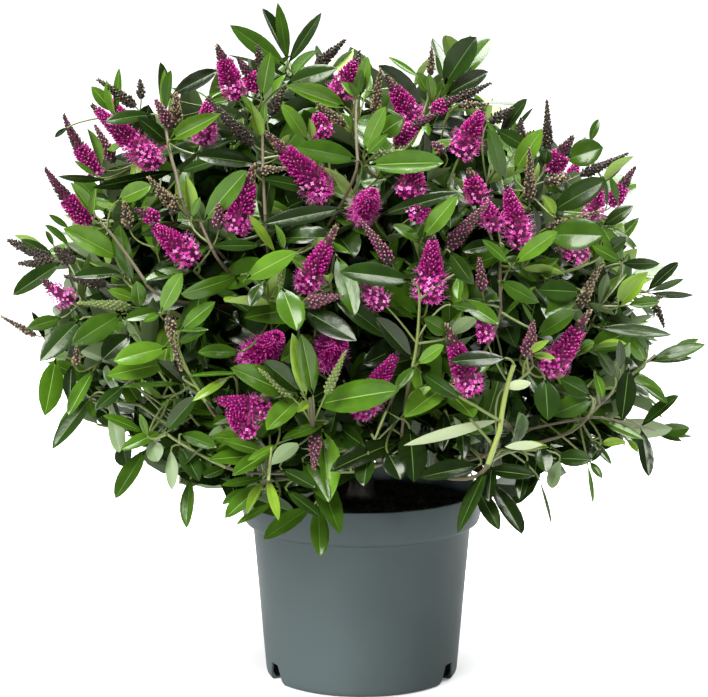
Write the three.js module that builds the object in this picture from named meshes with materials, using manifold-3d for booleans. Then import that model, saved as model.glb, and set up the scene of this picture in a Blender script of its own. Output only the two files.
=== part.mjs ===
// A hebe shrub in flower, standing in its round nursery pot.
// Millimetres, +Z up. The origin is the centre of the pot's flat underside, and -Y is the front.
// A short trunk stands on the soil. Thirteen boughs fan out from its fork, and each carries one mass
// of foliage, which keeps to its own cone of space round the bough.

import * as THREE from 'three';
import { mergeVertices } from 'three/addons/utils/BufferGeometryUtils.js';
import Module from 'manifold-3d';

const wasm = await Module();
wasm.setup();

const clearance = 0.3; // between neighbouring pieces
const weldDistance = 1e-4;
const upward = new THREE.Vector3(0, 0, 1);

const pot = {
  height: 182.6,
  rimRadius: 114.1,
  collarRadius: 115,
  collarHeight: 21.5,
  shoulderHeight: 13.5,
  ledge: { reach: 0.7, rise: 0.29 }, // the corner under the collar, as shares of the shoulder
  neckRadius: 104.5,
  footRadius: 92.6,
  footRounding: 8,
  footEase: { inset: 1.2, rise: 0.35 }, // the corner that rounds the foot
  baseRadius: 88.4,
  wall: 2,
  segments: 36,
};

const drain = {
  azimuths: [-117.3, -62.7, 62.7, 117.3],
  width: 39,
  topWidth: 26,
  height: 19,
  depth: 12,
  overshoot: 4, // of the cutter past the wall
};

const soil = {
  centreLevel: 171,
  edgeLevel: 167,
  crownRadius: 34,
  footInset: 14, // drawn in behind the drain notches
  footHeight: 18,
  wallGap: 1,
  segments: 24,
};

const trunk = {
  forkLevel: 232,
  flareRadius: 20,
  flareHeight: 12,
  waistRadius: 11,
  knobRadius: 14.5, // the swelling that the boughs leave from
  flareProfile: [[1, 0], [0.35, 0.4], [0.1, 1]], // shares of the flare's width and of its height
  knobProfile: [[1, -0.15], [0.85, 0.5], [0, 1]], // shares of the knob's radius, out and up from the fork
  segments: 10,
};

// A bough takes up this share of the way to the crown's surface, and hangs in a slight bow.
const bough = { baseRadius: 3.6, tipRadius: 2.9, share: 0.36, bow: 0.05, sides: 5, steps: 2 };

// How far the foliage reaches from the fork, and how its shoots are spread.
const crown = {
  levelReach: 306,
  topGain: 92, // further straight up
  skirtLoss: 320, // less far below the fork
  leastReach: 186, // where leaves hang down beside the pot
  sideLean: 22, // further out on the left than on the right
  leanRise: 3, // how soon above the fork that lean is full
  overhang: 1.015,
  unevenness: 0.04,
  lowestElevation: -24,
  shootSpacing: 13, // degrees between neighbouring shoots
  candidates: 1500,
  seed: 19,
};

// Each tier of masses: how many, how high they point from the fork and where the first one is.
const tiers = [
  { name: 'top', count: 1, elevation: 86, firstAzimuth: -90 },
  { name: 'upper', count: 5, elevation: 46, firstAzimuth: -36 },
  { name: 'lower', count: 7, elevation: 3, firstAzimuth: 12 },
];

// Shoots that make the outline: azimuth (0 in front, 90 at the right), elevation and reach from the fork.
const outlineShoots = [
  [-90, 79, 413], [90, 75, 396], [91, 61, 366], [89, 47, 371], [92, 31, 345], [90, 15, 342], [92, 1, 316],
  [-88, 3, 317], [-90, 17, 363], [-92, 30, 386], [-90, 42, 394], [-88, 53, 421],
];

// Shoots that carry the fullest blooms, by azimuth and elevation.
const bloomShoots = [
  [-57, 50], [-34, 36], [-41, 64], [-21, 44], [-8, 52], [-6, 35], [6, 45], [10, 61], [25, 55], [12, 32],
  [-17, 25], [-5, 24], [-22, 13], [1, 13], [16, 20], [34, 24], [29, 41], [-8, 5], [-64, 28], [43, 50],
  [52, 38], [-74, 41], [-6, 70],
];

// A mass's own stem goes on from its bough's tip to this share of the way out.
const stem = { radius: 3.4, share: 0.6, sides: 4, firstTwig: 0.1, twigSpan: 0.87 };

const twig = {
  baseRadius: 2.3,
  tipRadius: 1.9,
  sides: 3,
  steps: 2,
  inset: 9, // least distance of its tip from the faces of the cone
  leafShare: 0.56, // of a leaf's length stands past the tip
  rise: 0.1,
  lowRise: 0.04, // of the shoots below the fork
  knee: 0.55,
};

const leaf = {
  length: 114,
  width: 43,
  thickness: 1.8,
  fold: 6,
  arch: 7,
  widest: 0.42, // of the length from the root
  sink: 1, // past the middle of its twig
  clearOfRoot: 9,
};

// Opposite pairs back from the shoot's tip, each turned a quarter from the last.
const leafPairs = {
  first: 7,
  spacing: 36,
  angles: [34, 62, 84],
  sizes: [0.74, 1, 1],
  sizeSpread: 0.2,
  droop: 0.12,
  stagger: 4,
  leastShare: 0.1, // of the shoot's length under the lowest pair
};

// A leaf or spike without room is turned round its shoot by these angles in turn.
const search = { turns: [0, 25, -25, 50, -50, 75, -75], easing: 0.25, lift: 0.5 };

const spike = {
  length: 68,
  radius: 12.5,
  budRadius: 6.5,
  profile: [[0, 0], [0.9, 0.3], [1, 0.5], [0, 1]], // shares of the radius and of the length
  guard: [[0.8, 0.3], [0.5, 0.75]], // the same shares for the lines that leaves keep clear of
  offset: 16, // back from the shoot's tip
  lean: 26,
  facets: 5,
  share: 0.5, // of the shoots above lowestElevation
  fullShare: 0.7, // of the spikes are in full bloom, the others in bud
  lowestElevation: 2,
};

const soilWindow = { fromAzimuth: -12, toAzimuth: 36, elevation: -4 }; // open over the rim in front
const cellMargin = 0.35; // from a mass to the faces of its cone
const potMargin = 2.5;

const finishes = {
  pot: { color: '#5c6a6c', roughness: 0.45 },
  soil: { color: '#171310', roughness: 0.95 },
  bark: { color: '#6b6145', roughness: 0.8 },
  foliage: { color: '#41571f', roughness: 0.35 },
};

const fork = new THREE.Vector3(0, 0, trunk.forkLevel);

function seededRandom(seed) {
  let state = (seed * 2654435 + 97531) % 4294967296;
  return () => {
    state = (state * 1664525 + 1013904223) % 4294967296;
    return state / 4294967296;
  };
}

function directionAt(azimuth, elevation) {
  const a = THREE.MathUtils.degToRad(azimuth);
  const e = THREE.MathUtils.degToRad(elevation);
  return new THREE.Vector3(Math.sin(a) * Math.cos(e), -Math.cos(a) * Math.cos(e), Math.sin(e));
}

function reachAt(direction) {
  const gain = direction.z > 0 ? crown.topGain : crown.skirtLoss;
  const lean = crown.sideLean * direction.x * Math.min(1, crown.leanRise * direction.z);
  const reach = crown.levelReach + gain * direction.z - lean;
  return Math.max(reach, crown.leastReach);
}

// ---- closed solids ----

function toSolid(geometry) {
  const bare = geometry.index ? geometry.toNonIndexed() : geometry.clone();
  bare.deleteAttribute('normal');
  bare.deleteAttribute('uv');
  const merged = mergeVertices(bare, weldDistance);
  const corners = [];
  for (let i = 0; i < merged.index.count; i += 3) {
    const [a, b, c] = [merged.index.getX(i), merged.index.getX(i + 1), merged.index.getX(i + 2)];
    if (a !== b && b !== c && c !== a) corners.push(a, b, c);
  }
  return new wasm.Manifold(
    new wasm.Mesh({
      numProp: 3,
      vertProperties: new Float32Array(merged.attributes.position.array),
      triVerts: new Uint32Array(corners),
    }),
  );
}

function toGeometry(solid) {
  const mesh = solid.getMesh();
  const geometry = new THREE.BufferGeometry();
  geometry.setAttribute('position', new THREE.BufferAttribute(mesh.vertProperties, 3));
  geometry.setIndex(new THREE.BufferAttribute(mesh.triVerts, 1));
  return geometry;
}

// The largest body of a fused mass: loose scraps are dropped and sealed hollows are filled.
function largestBody(solid) {
  return solid.decompose().reduce((best, body) => (body.volume() > best.volume() ? body : best));
}

function fuse(solids) {
  return largestBody(solids.reduce((whole, piece) => whole.add(piece)));
}

function turned(profile, segments) {
  const points = profile.map(([radius, height]) => new THREE.Vector2(radius, height));
  return new THREE.LatheGeometry(points, segments).rotateX(Math.PI / 2);
}

// A tapering limb along a curve: a cylinder whose rings are moved to the curve.
function limb(curve, baseRadius, tipRadius, sides, steps) {
  const geometry = new THREE.CylinderGeometry(1, 1, 1, sides, steps);
  const frames = curve.computeFrenetFrames(steps, false);
  const position = geometry.attributes.position;
  for (let i = 0; i < position.count; i++) {
    const along = position.getY(i) + 0.5;
    const ring = Math.round(along * steps);
    const radius = THREE.MathUtils.lerp(baseRadius, tipRadius, along);
    const point = curve
      .getPointAt(along)
      .addScaledVector(frames.normals[ring], position.getX(i) * radius)
      .addScaledVector(frames.binormals[ring], -position.getZ(i) * radius);
    position.setXYZ(i, point.x, point.y, point.z);
  }
  return geometry;
}

// ---- pot, soil and trunk ----

function potGeometry() {
  const shoulderLevel = pot.height - pot.collarHeight - pot.shoulderHeight;
  const collarLevel = pot.height - pot.collarHeight;
  const ledgeLevel = shoulderLevel + pot.shoulderHeight * pot.ledge.rise;
  const step = pot.collarRadius - pot.neckRadius;
  const inside = pot.collarRadius - pot.wall;
  const profile = [
    [0, 0],
    [pot.baseRadius, 0],
    [pot.footRadius - pot.footEase.inset, pot.footRounding * pot.footEase.rise],
    [pot.footRadius, pot.footRounding],
    [pot.neckRadius, shoulderLevel],
    [pot.neckRadius + step * pot.ledge.reach, ledgeLevel],
    [pot.collarRadius, collarLevel],
    [pot.rimRadius, pot.height],
    [pot.rimRadius - pot.wall, pot.height],
    [inside, collarLevel],
    [inside - step * (1 - pot.ledge.reach), ledgeLevel],
    [pot.neckRadius - pot.wall, shoulderLevel - pot.wall / 2],
    [pot.footRadius - pot.wall, pot.footRounding],
    [pot.baseRadius - pot.wall, pot.wall],
    [0, pot.wall],
  ];
  return turned(profile, pot.segments);
}

// A notch with leaning sides, cut through the wall and floor at the foot.
function drainCutter(azimuth) {
  const outline = new THREE.Shape([
    new THREE.Vector2(-drain.width / 2, -1),
    new THREE.Vector2(drain.width / 2, -1),
    new THREE.Vector2(drain.topWidth / 2, drain.height),
    new THREE.Vector2(-drain.topWidth / 2, drain.height),
  ]);
  const depth = drain.depth + drain.overshoot;
  const cutter = new THREE.ExtrudeGeometry(outline, { depth, bevelEnabled: false });
  cutter.rotateX(Math.PI / 2);
  cutter.translate(0, drain.depth - drain.overshoot - pot.baseRadius, 0);
  return cutter.rotateZ(THREE.MathUtils.degToRad(azimuth));
}

function makePot() {
  const cutters = drain.azimuths.map((azimuth) => toSolid(drainCutter(azimuth)));
  return cutters.reduce((whole, cutter) => whole.subtract(cutter), toSolid(potGeometry()));
}

// The soil fills the pot to just under its rim, and its foot is drawn in behind the drain notches.
function makeSoil() {
  const collarLevel = pot.height - pot.collarHeight;
  const shoulderLevel = collarLevel - pot.shoulderHeight;
  const slope = (pot.neckRadius - pot.footRadius) / (shoulderLevel - pot.footRounding);
  const inset = pot.wall + soil.wallGap;
  const wallRadius = (level) => pot.footRadius - inset + slope * (level - pot.footRounding);
  const footTop = soil.footHeight + soil.footInset;
  const profile = [
    [0, pot.wall + clearance],
    [pot.baseRadius - soil.footInset, pot.wall + clearance],
    [pot.baseRadius - soil.footInset, soil.footHeight],
    [wallRadius(footTop), footTop],
    [wallRadius(shoulderLevel), shoulderLevel],
    [pot.rimRadius - inset, collarLevel],
    [pot.rimRadius - inset, soil.edgeLevel],
    [soil.crownRadius, soil.centreLevel],
    [0, soil.centreLevel],
  ];
  return toSolid(turned(profile, soil.segments));
}

// The trunk flares at its foot, narrows to a waist and swells to the fork.
function makeTrunk() {
  const foot = soil.centreLevel + clearance;
  const flare = trunk.flareRadius - trunk.waistRadius;
  const profile = [
    [0, foot],
    ...trunk.flareProfile.map(([out, up]) => [
      trunk.waistRadius + flare * out,
      foot + trunk.flareHeight * up,
    ]),
    [trunk.waistRadius, fork.z - trunk.knobRadius],
    ...trunk.knobProfile.map(([out, up]) => [trunk.knobRadius * out, fork.z + trunk.knobRadius * up]),
  ];
  return toSolid(turned(profile, trunk.segments));
}

// ---- the crown's plan ----

function makeCells() {
  return tiers.flatMap((tier) =>
    Array.from({ length: tier.count }, (_, i) => ({
      name: tier.count > 1 ? `${tier.name}_${i + 1}` : tier.name,
      axis: directionAt(tier.firstAzimuth + (360 * i) / tier.count, tier.elevation),
    })),
  );
}

// Distance from a point to the nearest face of a cell's cone, positive inside.
function depthInCell(point, cell, cells) {
  const offset = point.clone().sub(fork);
  return Math.min(
    ...cells
      .filter((other) => other !== cell)
      .map((other) => offset.dot(cell.axis.clone().sub(other.axis).normalize())),
  );
}

function inSoilWindow(azimuth, elevation) {
  const { fromAzimuth, toAzimuth } = soilWindow;
  return elevation < soilWindow.elevation && azimuth > fromAzimuth && azimuth < toAzimuth;
}

function shootTowards(azimuth, elevation, spikes, reach) {
  const direction = directionAt(azimuth, elevation);
  return { direction, spikes, reach: reach ?? reachAt(direction) };
}

// All shoots: the chosen ones, then others at random wherever there is room between them.
function shootPlan() {
  const shoots = [
    ...bloomShoots.map(([azimuth, elevation]) => shootTowards(azimuth, elevation, 1)),
    ...outlineShoots.map(([azimuth, elevation, reach]) => shootTowards(azimuth, elevation, 0, reach)),
  ];
  const random = seededRandom(crown.seed);
  const lowest = Math.sin(THREE.MathUtils.degToRad(crown.lowestElevation));
  for (let k = 0; k < crown.candidates; k++) {
    const elevation = THREE.MathUtils.radToDeg(Math.asin(THREE.MathUtils.lerp(lowest, 1, random())));
    const azimuth = random() * 360 - 180;
    const inBloom = elevation > spike.lowestElevation && random() < spike.share;
    const shoot = shootTowards(azimuth, elevation, inBloom ? 1 : 0);
    const room = Math.min(...shoots.map((other) => other.direction.angleTo(shoot.direction)));
    if (THREE.MathUtils.radToDeg(room) < crown.shootSpacing || inSoilWindow(azimuth, elevation)) continue;
    shoots.push({ ...shoot, reach: shoot.reach * (1 - crown.unevenness * random()) });
  }
  return shoots;
}

// ---- a mass of foliage ----

// Whether a point keeps to the crown's outline, which a shoot of the outline may pass by its own share.
function withinReach(point, shoot) {
  const offset = point.clone().sub(fork);
  const share = Math.max(1, shoot.reach / reachAt(shoot.direction));
  return offset.length() < crown.overhang * share * reachAt(offset.clone().normalize());
}

function verticesOf(geometry) {
  const { position } = geometry.attributes;
  const vertex = (_, i) => new THREE.Vector3().fromBufferAttribute(position, i);
  return Array.from({ length: position.count }, vertex);
}

// The room that the pot takes up, which no twig or leaf enters.
const potRoom = toSolid(
  turned(
    [
      [0, 0],
      [pot.collarRadius + potMargin, 0],
      [pot.collarRadius + potMargin, pot.height + potMargin],
      [0, pot.height + potMargin],
    ],
    pot.segments,
  ),
);

// Whether a piece keeps to the mass's cone and the crown's outline, and off the pot.
function staysClear(piece, mass, shoot) {
  const inCell = (point) => depthInCell(point, mass.cell, mass.cells) > cellMargin;
  const points = verticesOf(piece);
  if (!points.every((point) => inCell(point) && withinReach(point, shoot))) return false;
  const above = points.every((point) => point.z > pot.height + potMargin);
  return above || potRoom.intersect(toSolid(piece)).isEmpty();
}

function frameAt(origin, along, normal) {
  const side = new THREE.Vector3().crossVectors(normal, along).normalize();
  const face = new THREE.Vector3().crossVectors(along, side);
  return new THREE.Matrix4().makeBasis(along, side, face).setPosition(origin);
}

// A folded, arching blade of eight faces along +X, from an octahedron.
function leafGeometry(scale) {
  const geometry = new THREE.OctahedronGeometry(1);
  const position = geometry.attributes.position;
  for (let i = 0; i < position.count; i++) {
    const [x, y, z] = [position.getX(i), position.getY(i), position.getZ(i)];
    const middle = 1 - Math.abs(x);
    position.setXYZ(
      i,
      scale * leaf.length * (x > 0 ? x : middle * leaf.widest) - leaf.sink,
      (scale * y * leaf.width) / 2,
      (z * leaf.thickness) / 2 + scale * (Math.abs(y) * leaf.fold + middle * leaf.arch),
    );
  }
  return geometry;
}

function spikeGeometry(full) {
  const radius = full ? spike.radius : spike.budRadius;
  const points = spike.profile.map(([r, share]) => new THREE.Vector2(r * radius, share * spike.length));
  return new THREE.LatheGeometry(points, spike.facets).rotateZ(-Math.PI / 2);
}

// The way that a shoot takes: out from the mass's stem, then turning up to its tip.
function shootCurve(start, tip, direction) {
  const sag = start.distanceTo(tip) * (direction.z > 0 ? twig.rise : twig.lowRise);
  const knee = start.clone().lerp(tip, twig.knee);
  knee.addScaledVector(direction, sag).addScaledVector(upward, -sag);
  return new THREE.QuadraticBezierCurve3(start, knee, tip);
}

function leafAxis(tangent, side, angle, droop) {
  const a = THREE.MathUtils.degToRad(angle);
  return tangent
    .clone()
    .multiplyScalar(Math.cos(a))
    .addScaledVector(side, Math.sin(a))
    .addScaledVector(upward, -droop)
    .normalize();
}

// A flat blade's faces and edges, short of its root, to find what it would pierce.
function bladeOf(matrix, scale) {
  const [length, edge, lift] = [leaf.length, leaf.width / 2, leaf.fold + leaf.arch].map((x) => x * scale);
  const [root, left, tip, right] = [
    [leaf.clearOfRoot, 0, 0],
    [length * leaf.widest, edge, lift],
    [length, 0, 0],
    [length * leaf.widest, -edge, lift],
  ].map((corner) => new THREE.Vector3(...corner).applyMatrix4(matrix));
  return {
    faces: [[root, left, tip], [root, tip, right]],
    edges: [[root, left], [left, tip], [tip, right], [right, root], [root, tip]],
  };
}

function pierces([start, end], face) {
  const ray = new THREE.Ray(start, end.clone().sub(start).normalize());
  const hit = ray.intersectTriangle(...face, false, new THREE.Vector3());
  return hit !== null && hit.distanceTo(start) < start.distanceTo(end);
}

function cross(one, other) {
  return (
    one.edges.some((edge) => other.faces.some((face) => pierces(edge, face))) ||
    other.edges.some((edge) => one.faces.some((face) => pierces(edge, face)))
  );
}

// The frame of a piece that grows along an axis, turned round the shoot until the mass has room for it.
function findRoom(point, tangent, side, angle, droop, fits) {
  const normal = tangent.clone().addScaledVector(upward, search.lift);
  for (const turn of search.turns) {
    const way = side.clone().applyAxisAngle(tangent, THREE.MathUtils.degToRad(turn));
    const along = leafAxis(tangent, way, angle - Math.abs(turn) * search.easing, droop);
    const matrix = frameAt(point, along, normal);
    if (fits(matrix)) return matrix;
  }
  return null;
}

function growLeaf(point, tangent, side, pair, random, shoot, mass) {
  const scale = leafPairs.sizes[pair] * (1 + leafPairs.sizeSpread * (random() - 0.5));
  const fits = (matrix) => {
    const blade = bladeOf(matrix, scale);
    if (mass.grown.some((other) => cross(blade, other))) return false;
    return staysClear(leafGeometry(scale).applyMatrix4(matrix), mass, shoot);
  };
  const matrix = findRoom(point, tangent, side, leafPairs.angles[pair], leafPairs.droop, fits);
  if (!matrix) return;
  mass.grown.push(bladeOf(matrix, scale));
  mass.pieces.push(leafGeometry(scale).applyMatrix4(matrix));
}

function growSpike(point, tangent, side, random, shoot, mass) {
  const geometry = spikeGeometry(random() < spike.fullShare);
  const fits = (matrix) => {
    const lines = spikeLines(matrix);
    if (mass.grown.some((other) => cross(lines, other))) return false;
    return staysClear(geometry.clone().applyMatrix4(matrix), mass, shoot);
  };
  const matrix = findRoom(point, tangent, side, spike.lean, 0, fits);
  if (!matrix) return;
  mass.grown.push(spikeLines(matrix));
  mass.pieces.push(geometry.applyMatrix4(matrix));
}

// Lines along a spike's middle and sides, which the leaves keep clear of.
function spikeLines(matrix) {
  const ways = [[0, 0], [1, 0], [-1, 0], [0, 1], [0, -1]];
  const edges = ways.map(([y, z]) =>
    spike.guard.map(([r, share]) => {
      const end = new THREE.Vector3(spike.length * share, y * spike.radius * r, z * spike.radius * r);
      return end.applyMatrix4(matrix);
    }),
  );
  return { faces: [], edges };
}

// The directions across a shoot in which a pair grows: each pair is turned a quarter from the last.
function pairSides(tangent, twist, pair) {
  const across = new THREE.Vector3().crossVectors(tangent, upward).normalize();
  across.applyAxisAngle(tangent, twist + (pair * Math.PI) / 2);
  return [across, across.clone().negate()];
}

function growShoot(curve, shoot, random, mass) {
  const woody = limb(curve, twig.baseRadius, twig.tipRadius, twig.sides, twig.steps);
  if (!staysClear(woody, mass, shoot)) return;
  mass.pieces.push(woody);
  const joints = curve.getPoints(twig.steps);
  mass.grown.push({ faces: [], edges: joints.slice(1).map((joint, i) => [joints[i], joint]) });
  const length = curve.getLength();
  const twist = random() * Math.PI;
  const spikeShare = 1 - spike.offset / length;
  const spikeTangent = curve.getTangentAt(spikeShare);
  for (const side of pairSides(spikeTangent, twist, 1).slice(0, shoot.spikes)) {
    growSpike(curve.getPointAt(spikeShare), spikeTangent, side, random, shoot, mass);
  }
  leafPairs.angles.forEach((_, pair) => {
    const share = 1 - (leafPairs.first + pair * leafPairs.spacing) / length;
    if (share < leafPairs.leastShare) return;
    const tangent = curve.getTangentAt(share);
    pairSides(tangent, twist, pair).forEach((side, i) => {
      const point = curve.getPointAt(share - (i * leafPairs.stagger) / length);
      growLeaf(point, tangent, side, pair, random, shoot, mass);
    });
  });
}

function makeBough(cell) {
  const start = fork.clone().addScaledVector(cell.axis, trunk.knobRadius + clearance);
  const tip = fork.clone().addScaledVector(cell.axis, reachAt(cell.axis) * bough.share);
  const middle = start.clone().lerp(tip, 0.5).addScaledVector(upward, -start.distanceTo(tip) * bough.bow);
  const curve = new THREE.QuadraticBezierCurve3(start, middle, tip);
  const solid = toSolid(limb(curve, bough.baseRadius, bough.tipRadius, bough.sides, bough.steps));
  return { curve, solid };
}

function makeMass(cell, cells, shoots, boughCurve) {
  const heading = boughCurve.getTangentAt(1);
  const root = boughCurve.getPointAt(1).addScaledVector(heading, clearance);
  const end = fork.clone().addScaledVector(cell.axis, reachAt(cell.axis) * stem.share);
  const stemCurve = new THREE.LineCurve3(root, end);
  const mass = {
    cell,
    cells,
    pieces: [limb(stemCurve, bough.tipRadius, stem.radius, stem.sides, 1)],
    grown: [],
  };
  const widestFirst = [...shoots].sort((a, b) => a.direction.dot(cell.axis) - b.direction.dot(cell.axis));
  widestFirst.forEach((shoot, i) => {
    const random = seededRandom(shoot.number);
    const tip = fork.clone().addScaledVector(shoot.direction, shoot.reach - leaf.length * twig.leafShare);
    const inset = twig.inset - depthInCell(tip, cell, cells);
    if (inset > 0) tip.addScaledVector(cell.axis.clone().sub(shoot.direction).normalize(), inset);
    const start = stemCurve.getPointAt(stem.firstTwig + (stem.twigSpan * (i + 0.5)) / shoots.length);
    growShoot(shootCurve(start, tip, shoot.direction), shoot, random, mass);
  });
  return fuse(mass.pieces.map(toSolid));
}

// ---- the whole plant ----

function named(name, solid, finish) {
  const mesh = new THREE.Mesh(toGeometry(solid), new THREE.MeshStandardMaterial({ ...finish, metalness: 0 }));
  mesh.name = name;
  return mesh;
}

const plant = new THREE.Group();
plant.add(named('pot', makePot(), finishes.pot));
plant.add(named('soil', makeSoil(), finishes.soil));
plant.add(named('trunk', makeTrunk(), finishes.bark));

const cells = makeCells();
const shoots = shootPlan();
shoots.forEach((shoot, i) => {
  shoot.number = i + 1;
  shoot.cell = cells.reduce((best, cell) =>
    cell.axis.dot(shoot.direction) > best.axis.dot(shoot.direction) ? cell : best,
  );
});

for (const cell of cells) {
  const { curve, solid } = makeBough(cell);
  const own = shoots.filter((shoot) => shoot.cell === cell);
  plant.add(named(`bough_${cell.name}`, solid, finishes.bark));
  plant.add(named(`foliage_${cell.name}`, makeMass(cell, cells, own, curve), finishes.foliage));
}

export default plant;
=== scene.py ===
import math

import bmesh
import bpy
import numpy as np
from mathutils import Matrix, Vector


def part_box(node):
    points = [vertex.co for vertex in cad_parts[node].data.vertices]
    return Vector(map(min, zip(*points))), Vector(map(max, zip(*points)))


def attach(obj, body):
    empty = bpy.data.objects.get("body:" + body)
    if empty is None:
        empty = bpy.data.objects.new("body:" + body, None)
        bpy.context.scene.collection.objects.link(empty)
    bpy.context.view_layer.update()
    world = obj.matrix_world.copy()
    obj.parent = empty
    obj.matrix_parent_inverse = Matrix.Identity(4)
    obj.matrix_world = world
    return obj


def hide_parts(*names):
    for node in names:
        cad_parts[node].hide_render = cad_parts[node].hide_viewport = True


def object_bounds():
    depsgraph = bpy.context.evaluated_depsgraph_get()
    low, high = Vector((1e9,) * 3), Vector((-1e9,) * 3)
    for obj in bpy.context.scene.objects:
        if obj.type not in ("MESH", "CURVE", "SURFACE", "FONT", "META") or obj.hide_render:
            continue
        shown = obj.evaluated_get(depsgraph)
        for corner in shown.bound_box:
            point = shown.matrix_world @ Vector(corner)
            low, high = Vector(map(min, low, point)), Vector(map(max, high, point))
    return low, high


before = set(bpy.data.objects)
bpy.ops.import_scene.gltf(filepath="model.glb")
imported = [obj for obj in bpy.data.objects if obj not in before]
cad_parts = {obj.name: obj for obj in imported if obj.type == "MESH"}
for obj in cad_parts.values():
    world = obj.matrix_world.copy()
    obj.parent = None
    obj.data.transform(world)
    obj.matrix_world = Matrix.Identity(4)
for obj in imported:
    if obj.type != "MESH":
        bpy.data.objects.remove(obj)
cadLow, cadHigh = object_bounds()
scene = bpy.context.scene
print("frame loaded:", len(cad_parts), "nodes")


# ---- small helpers for modelling ----

def editMode():
    bpy.ops.object.mode_set(mode="EDIT")


def objectMode():
    bpy.ops.object.mode_set(mode="OBJECT")


def selectAll():
    bpy.ops.mesh.select_all(action="SELECT")


def editAll():
    editMode()
    selectAll()


def moveSelected(x, y, z):
    bpy.ops.transform.translate(value=(x, y, z))


def scaleSelected(x, y, z):
    bpy.ops.transform.resize(value=(x, y, z), center_override=(0, 0, 0))


def turnSelected(degrees, axis, middle=(0, 0, 0)):
    bpy.ops.transform.rotate(value=math.radians(degrees), orient_axis=axis, center_override=middle)


def faceOutwards():
    selectAll()
    bpy.ops.mesh.normals_make_consistent(inside=False)


def giveSlot(piece, slot):
    # sets the material slot of the selected faces
    piece.active_material_index = slot
    bpy.ops.object.material_slot_assign()


def deselectAll():
    if bpy.context.object and bpy.context.object.mode != "OBJECT":
        objectMode()
    bpy.ops.object.select_all(action="DESELECT")


def choose(piece):
    deselectAll()
    piece.select_set(True)
    bpy.context.view_layer.objects.active = piece


def faceMiddle(face):
    return sum((corner.co for corner in face.verts), face.verts[0].co * 0) / len(face.verts)


def pick(piece, test, kind="verts"):
    # in edit mode: selects the verts or faces whose middle passes the test
    bpy.ops.mesh.select_all(action="DESELECT")
    work = bmesh.from_edit_mesh(piece.data)
    for part in getattr(work, kind):
        if test(part.co if kind == "verts" else faceMiddle(part)):
            part.select_set(True)
    work.select_flush_mode()
    bmesh.update_edit_mesh(piece.data)


def addModifier(piece, kind, **values):
    modifier = piece.modifiers.new(kind.lower(), kind)
    for name, value in values.items():
        setattr(modifier, name, value)
    return modifier


def applyModifiers(piece):
    choose(piece)
    for modifier in list(piece.modifiers):
        bpy.ops.object.modifier_apply(modifier=modifier.name)


def finishPiece(piece, name, materials, replaced=(), smoothAngle=40):
    # names a finished mesh, sets it at the origin, shades it and ties it to the plant
    choose(piece)
    bpy.ops.object.transform_apply(location=True, rotation=True, scale=True)
    piece.name = piece.data.name = name
    for material in materials:
        piece.data.materials.append(material)
    bpy.ops.object.shade_smooth_by_angle(angle=math.radians(smoothAngle))
    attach(piece, "root")
    if replaced:
        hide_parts(*replaced)


# ---- materials ----

def feed(tree, socket, source):
    # gives a socket a value or the output of another node
    if isinstance(source, bpy.types.NodeSocket):
        tree.links.new(source, socket)
    else:
        socket.default_value = source


def addMath(tree, operation, *sources):
    node = tree.nodes.new("ShaderNodeMath")
    node.operation = operation
    for socket, source in zip(node.inputs, sources):
        feed(tree, socket, source)
    return node.outputs[0]


def addBlend(tree, share, first, second):
    # a mix of two colours
    node = tree.nodes.new("ShaderNodeMix")
    node.data_type = "RGBA"
    for label, source in (("Factor", share), ("A", first), ("B", second)):
        feed(tree, node.inputs[label], source)
    return node.outputs["Result"]


def addNoise(tree, place, scale, detail):
    node = tree.nodes.new("ShaderNodeTexNoise")
    for label, source in (("Vector", place), ("Scale", scale), ("Detail", detail)):
        feed(tree, node.inputs[label], source)
    return node.outputs["Fac"]


def objectPlace(tree):
    return tree.nodes.new("ShaderNodeTexCoord").outputs["Object"]


def newGroup(name, inputs, outputs):
    # a node group with named inputs, each with its kind and value, and named outputs
    tree = bpy.data.node_groups.new(name, "ShaderNodeTree")
    for label, kind, value in inputs:
        socket = tree.interface.new_socket(name=label, in_out="INPUT", socket_type="NodeSocket" + kind)
        socket.default_value = value
    for label, kind in outputs:
        tree.interface.new_socket(name=label, in_out="OUTPUT", socket_type="NodeSocket" + kind)
    return tree, tree.nodes.new("NodeGroupInput").outputs, tree.nodes.new("NodeGroupOutput").inputs


noiseShape = {"mottleDetail": 5, "reliefDetail": 3, "mottleEdge": 0.30, "mottleEdgeGain": 0.25}


def makeMottleGroup():
    # two colours mixed by soft noise, with an uneven value for roughness
    tree, given, out = newGroup(
        "mottle",
        (("Color", "Color", (0.5, 0.5, 0.5, 1)), ("Second Color", "Color", (0.3, 0.3, 0.3, 1)),
         ("Scale", "Float", 30.0), ("Sharpness", "Float", 0.3),
         ("Roughness", "Float", 0.5), ("Unevenness", "Float", 0.1)),
        (("Color", "Color"), ("Roughness", "Float")))
    noise = addNoise(tree, objectPlace(tree), given["Scale"], noiseShape["mottleDetail"])
    low = addMath(tree, "MULTIPLY_ADD", given["Sharpness"],
                  noiseShape["mottleEdgeGain"], noiseShape["mottleEdge"])
    high = addMath(tree, "SUBTRACT", 1.0, low)
    mask = tree.nodes.new("ShaderNodeMapRange")
    for label, source in (("Value", noise), ("From Min", low), ("From Max", high)):
        feed(tree, mask.inputs[label], source)
    share = mask.outputs["Result"]
    feed(tree, out["Color"], addBlend(tree, share, given["Color"], given["Second Color"]))
    rough = addMath(tree, "MULTIPLY_ADD", share, given["Unevenness"], given["Roughness"])
    feed(tree, out["Roughness"], rough)
    return tree


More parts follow.
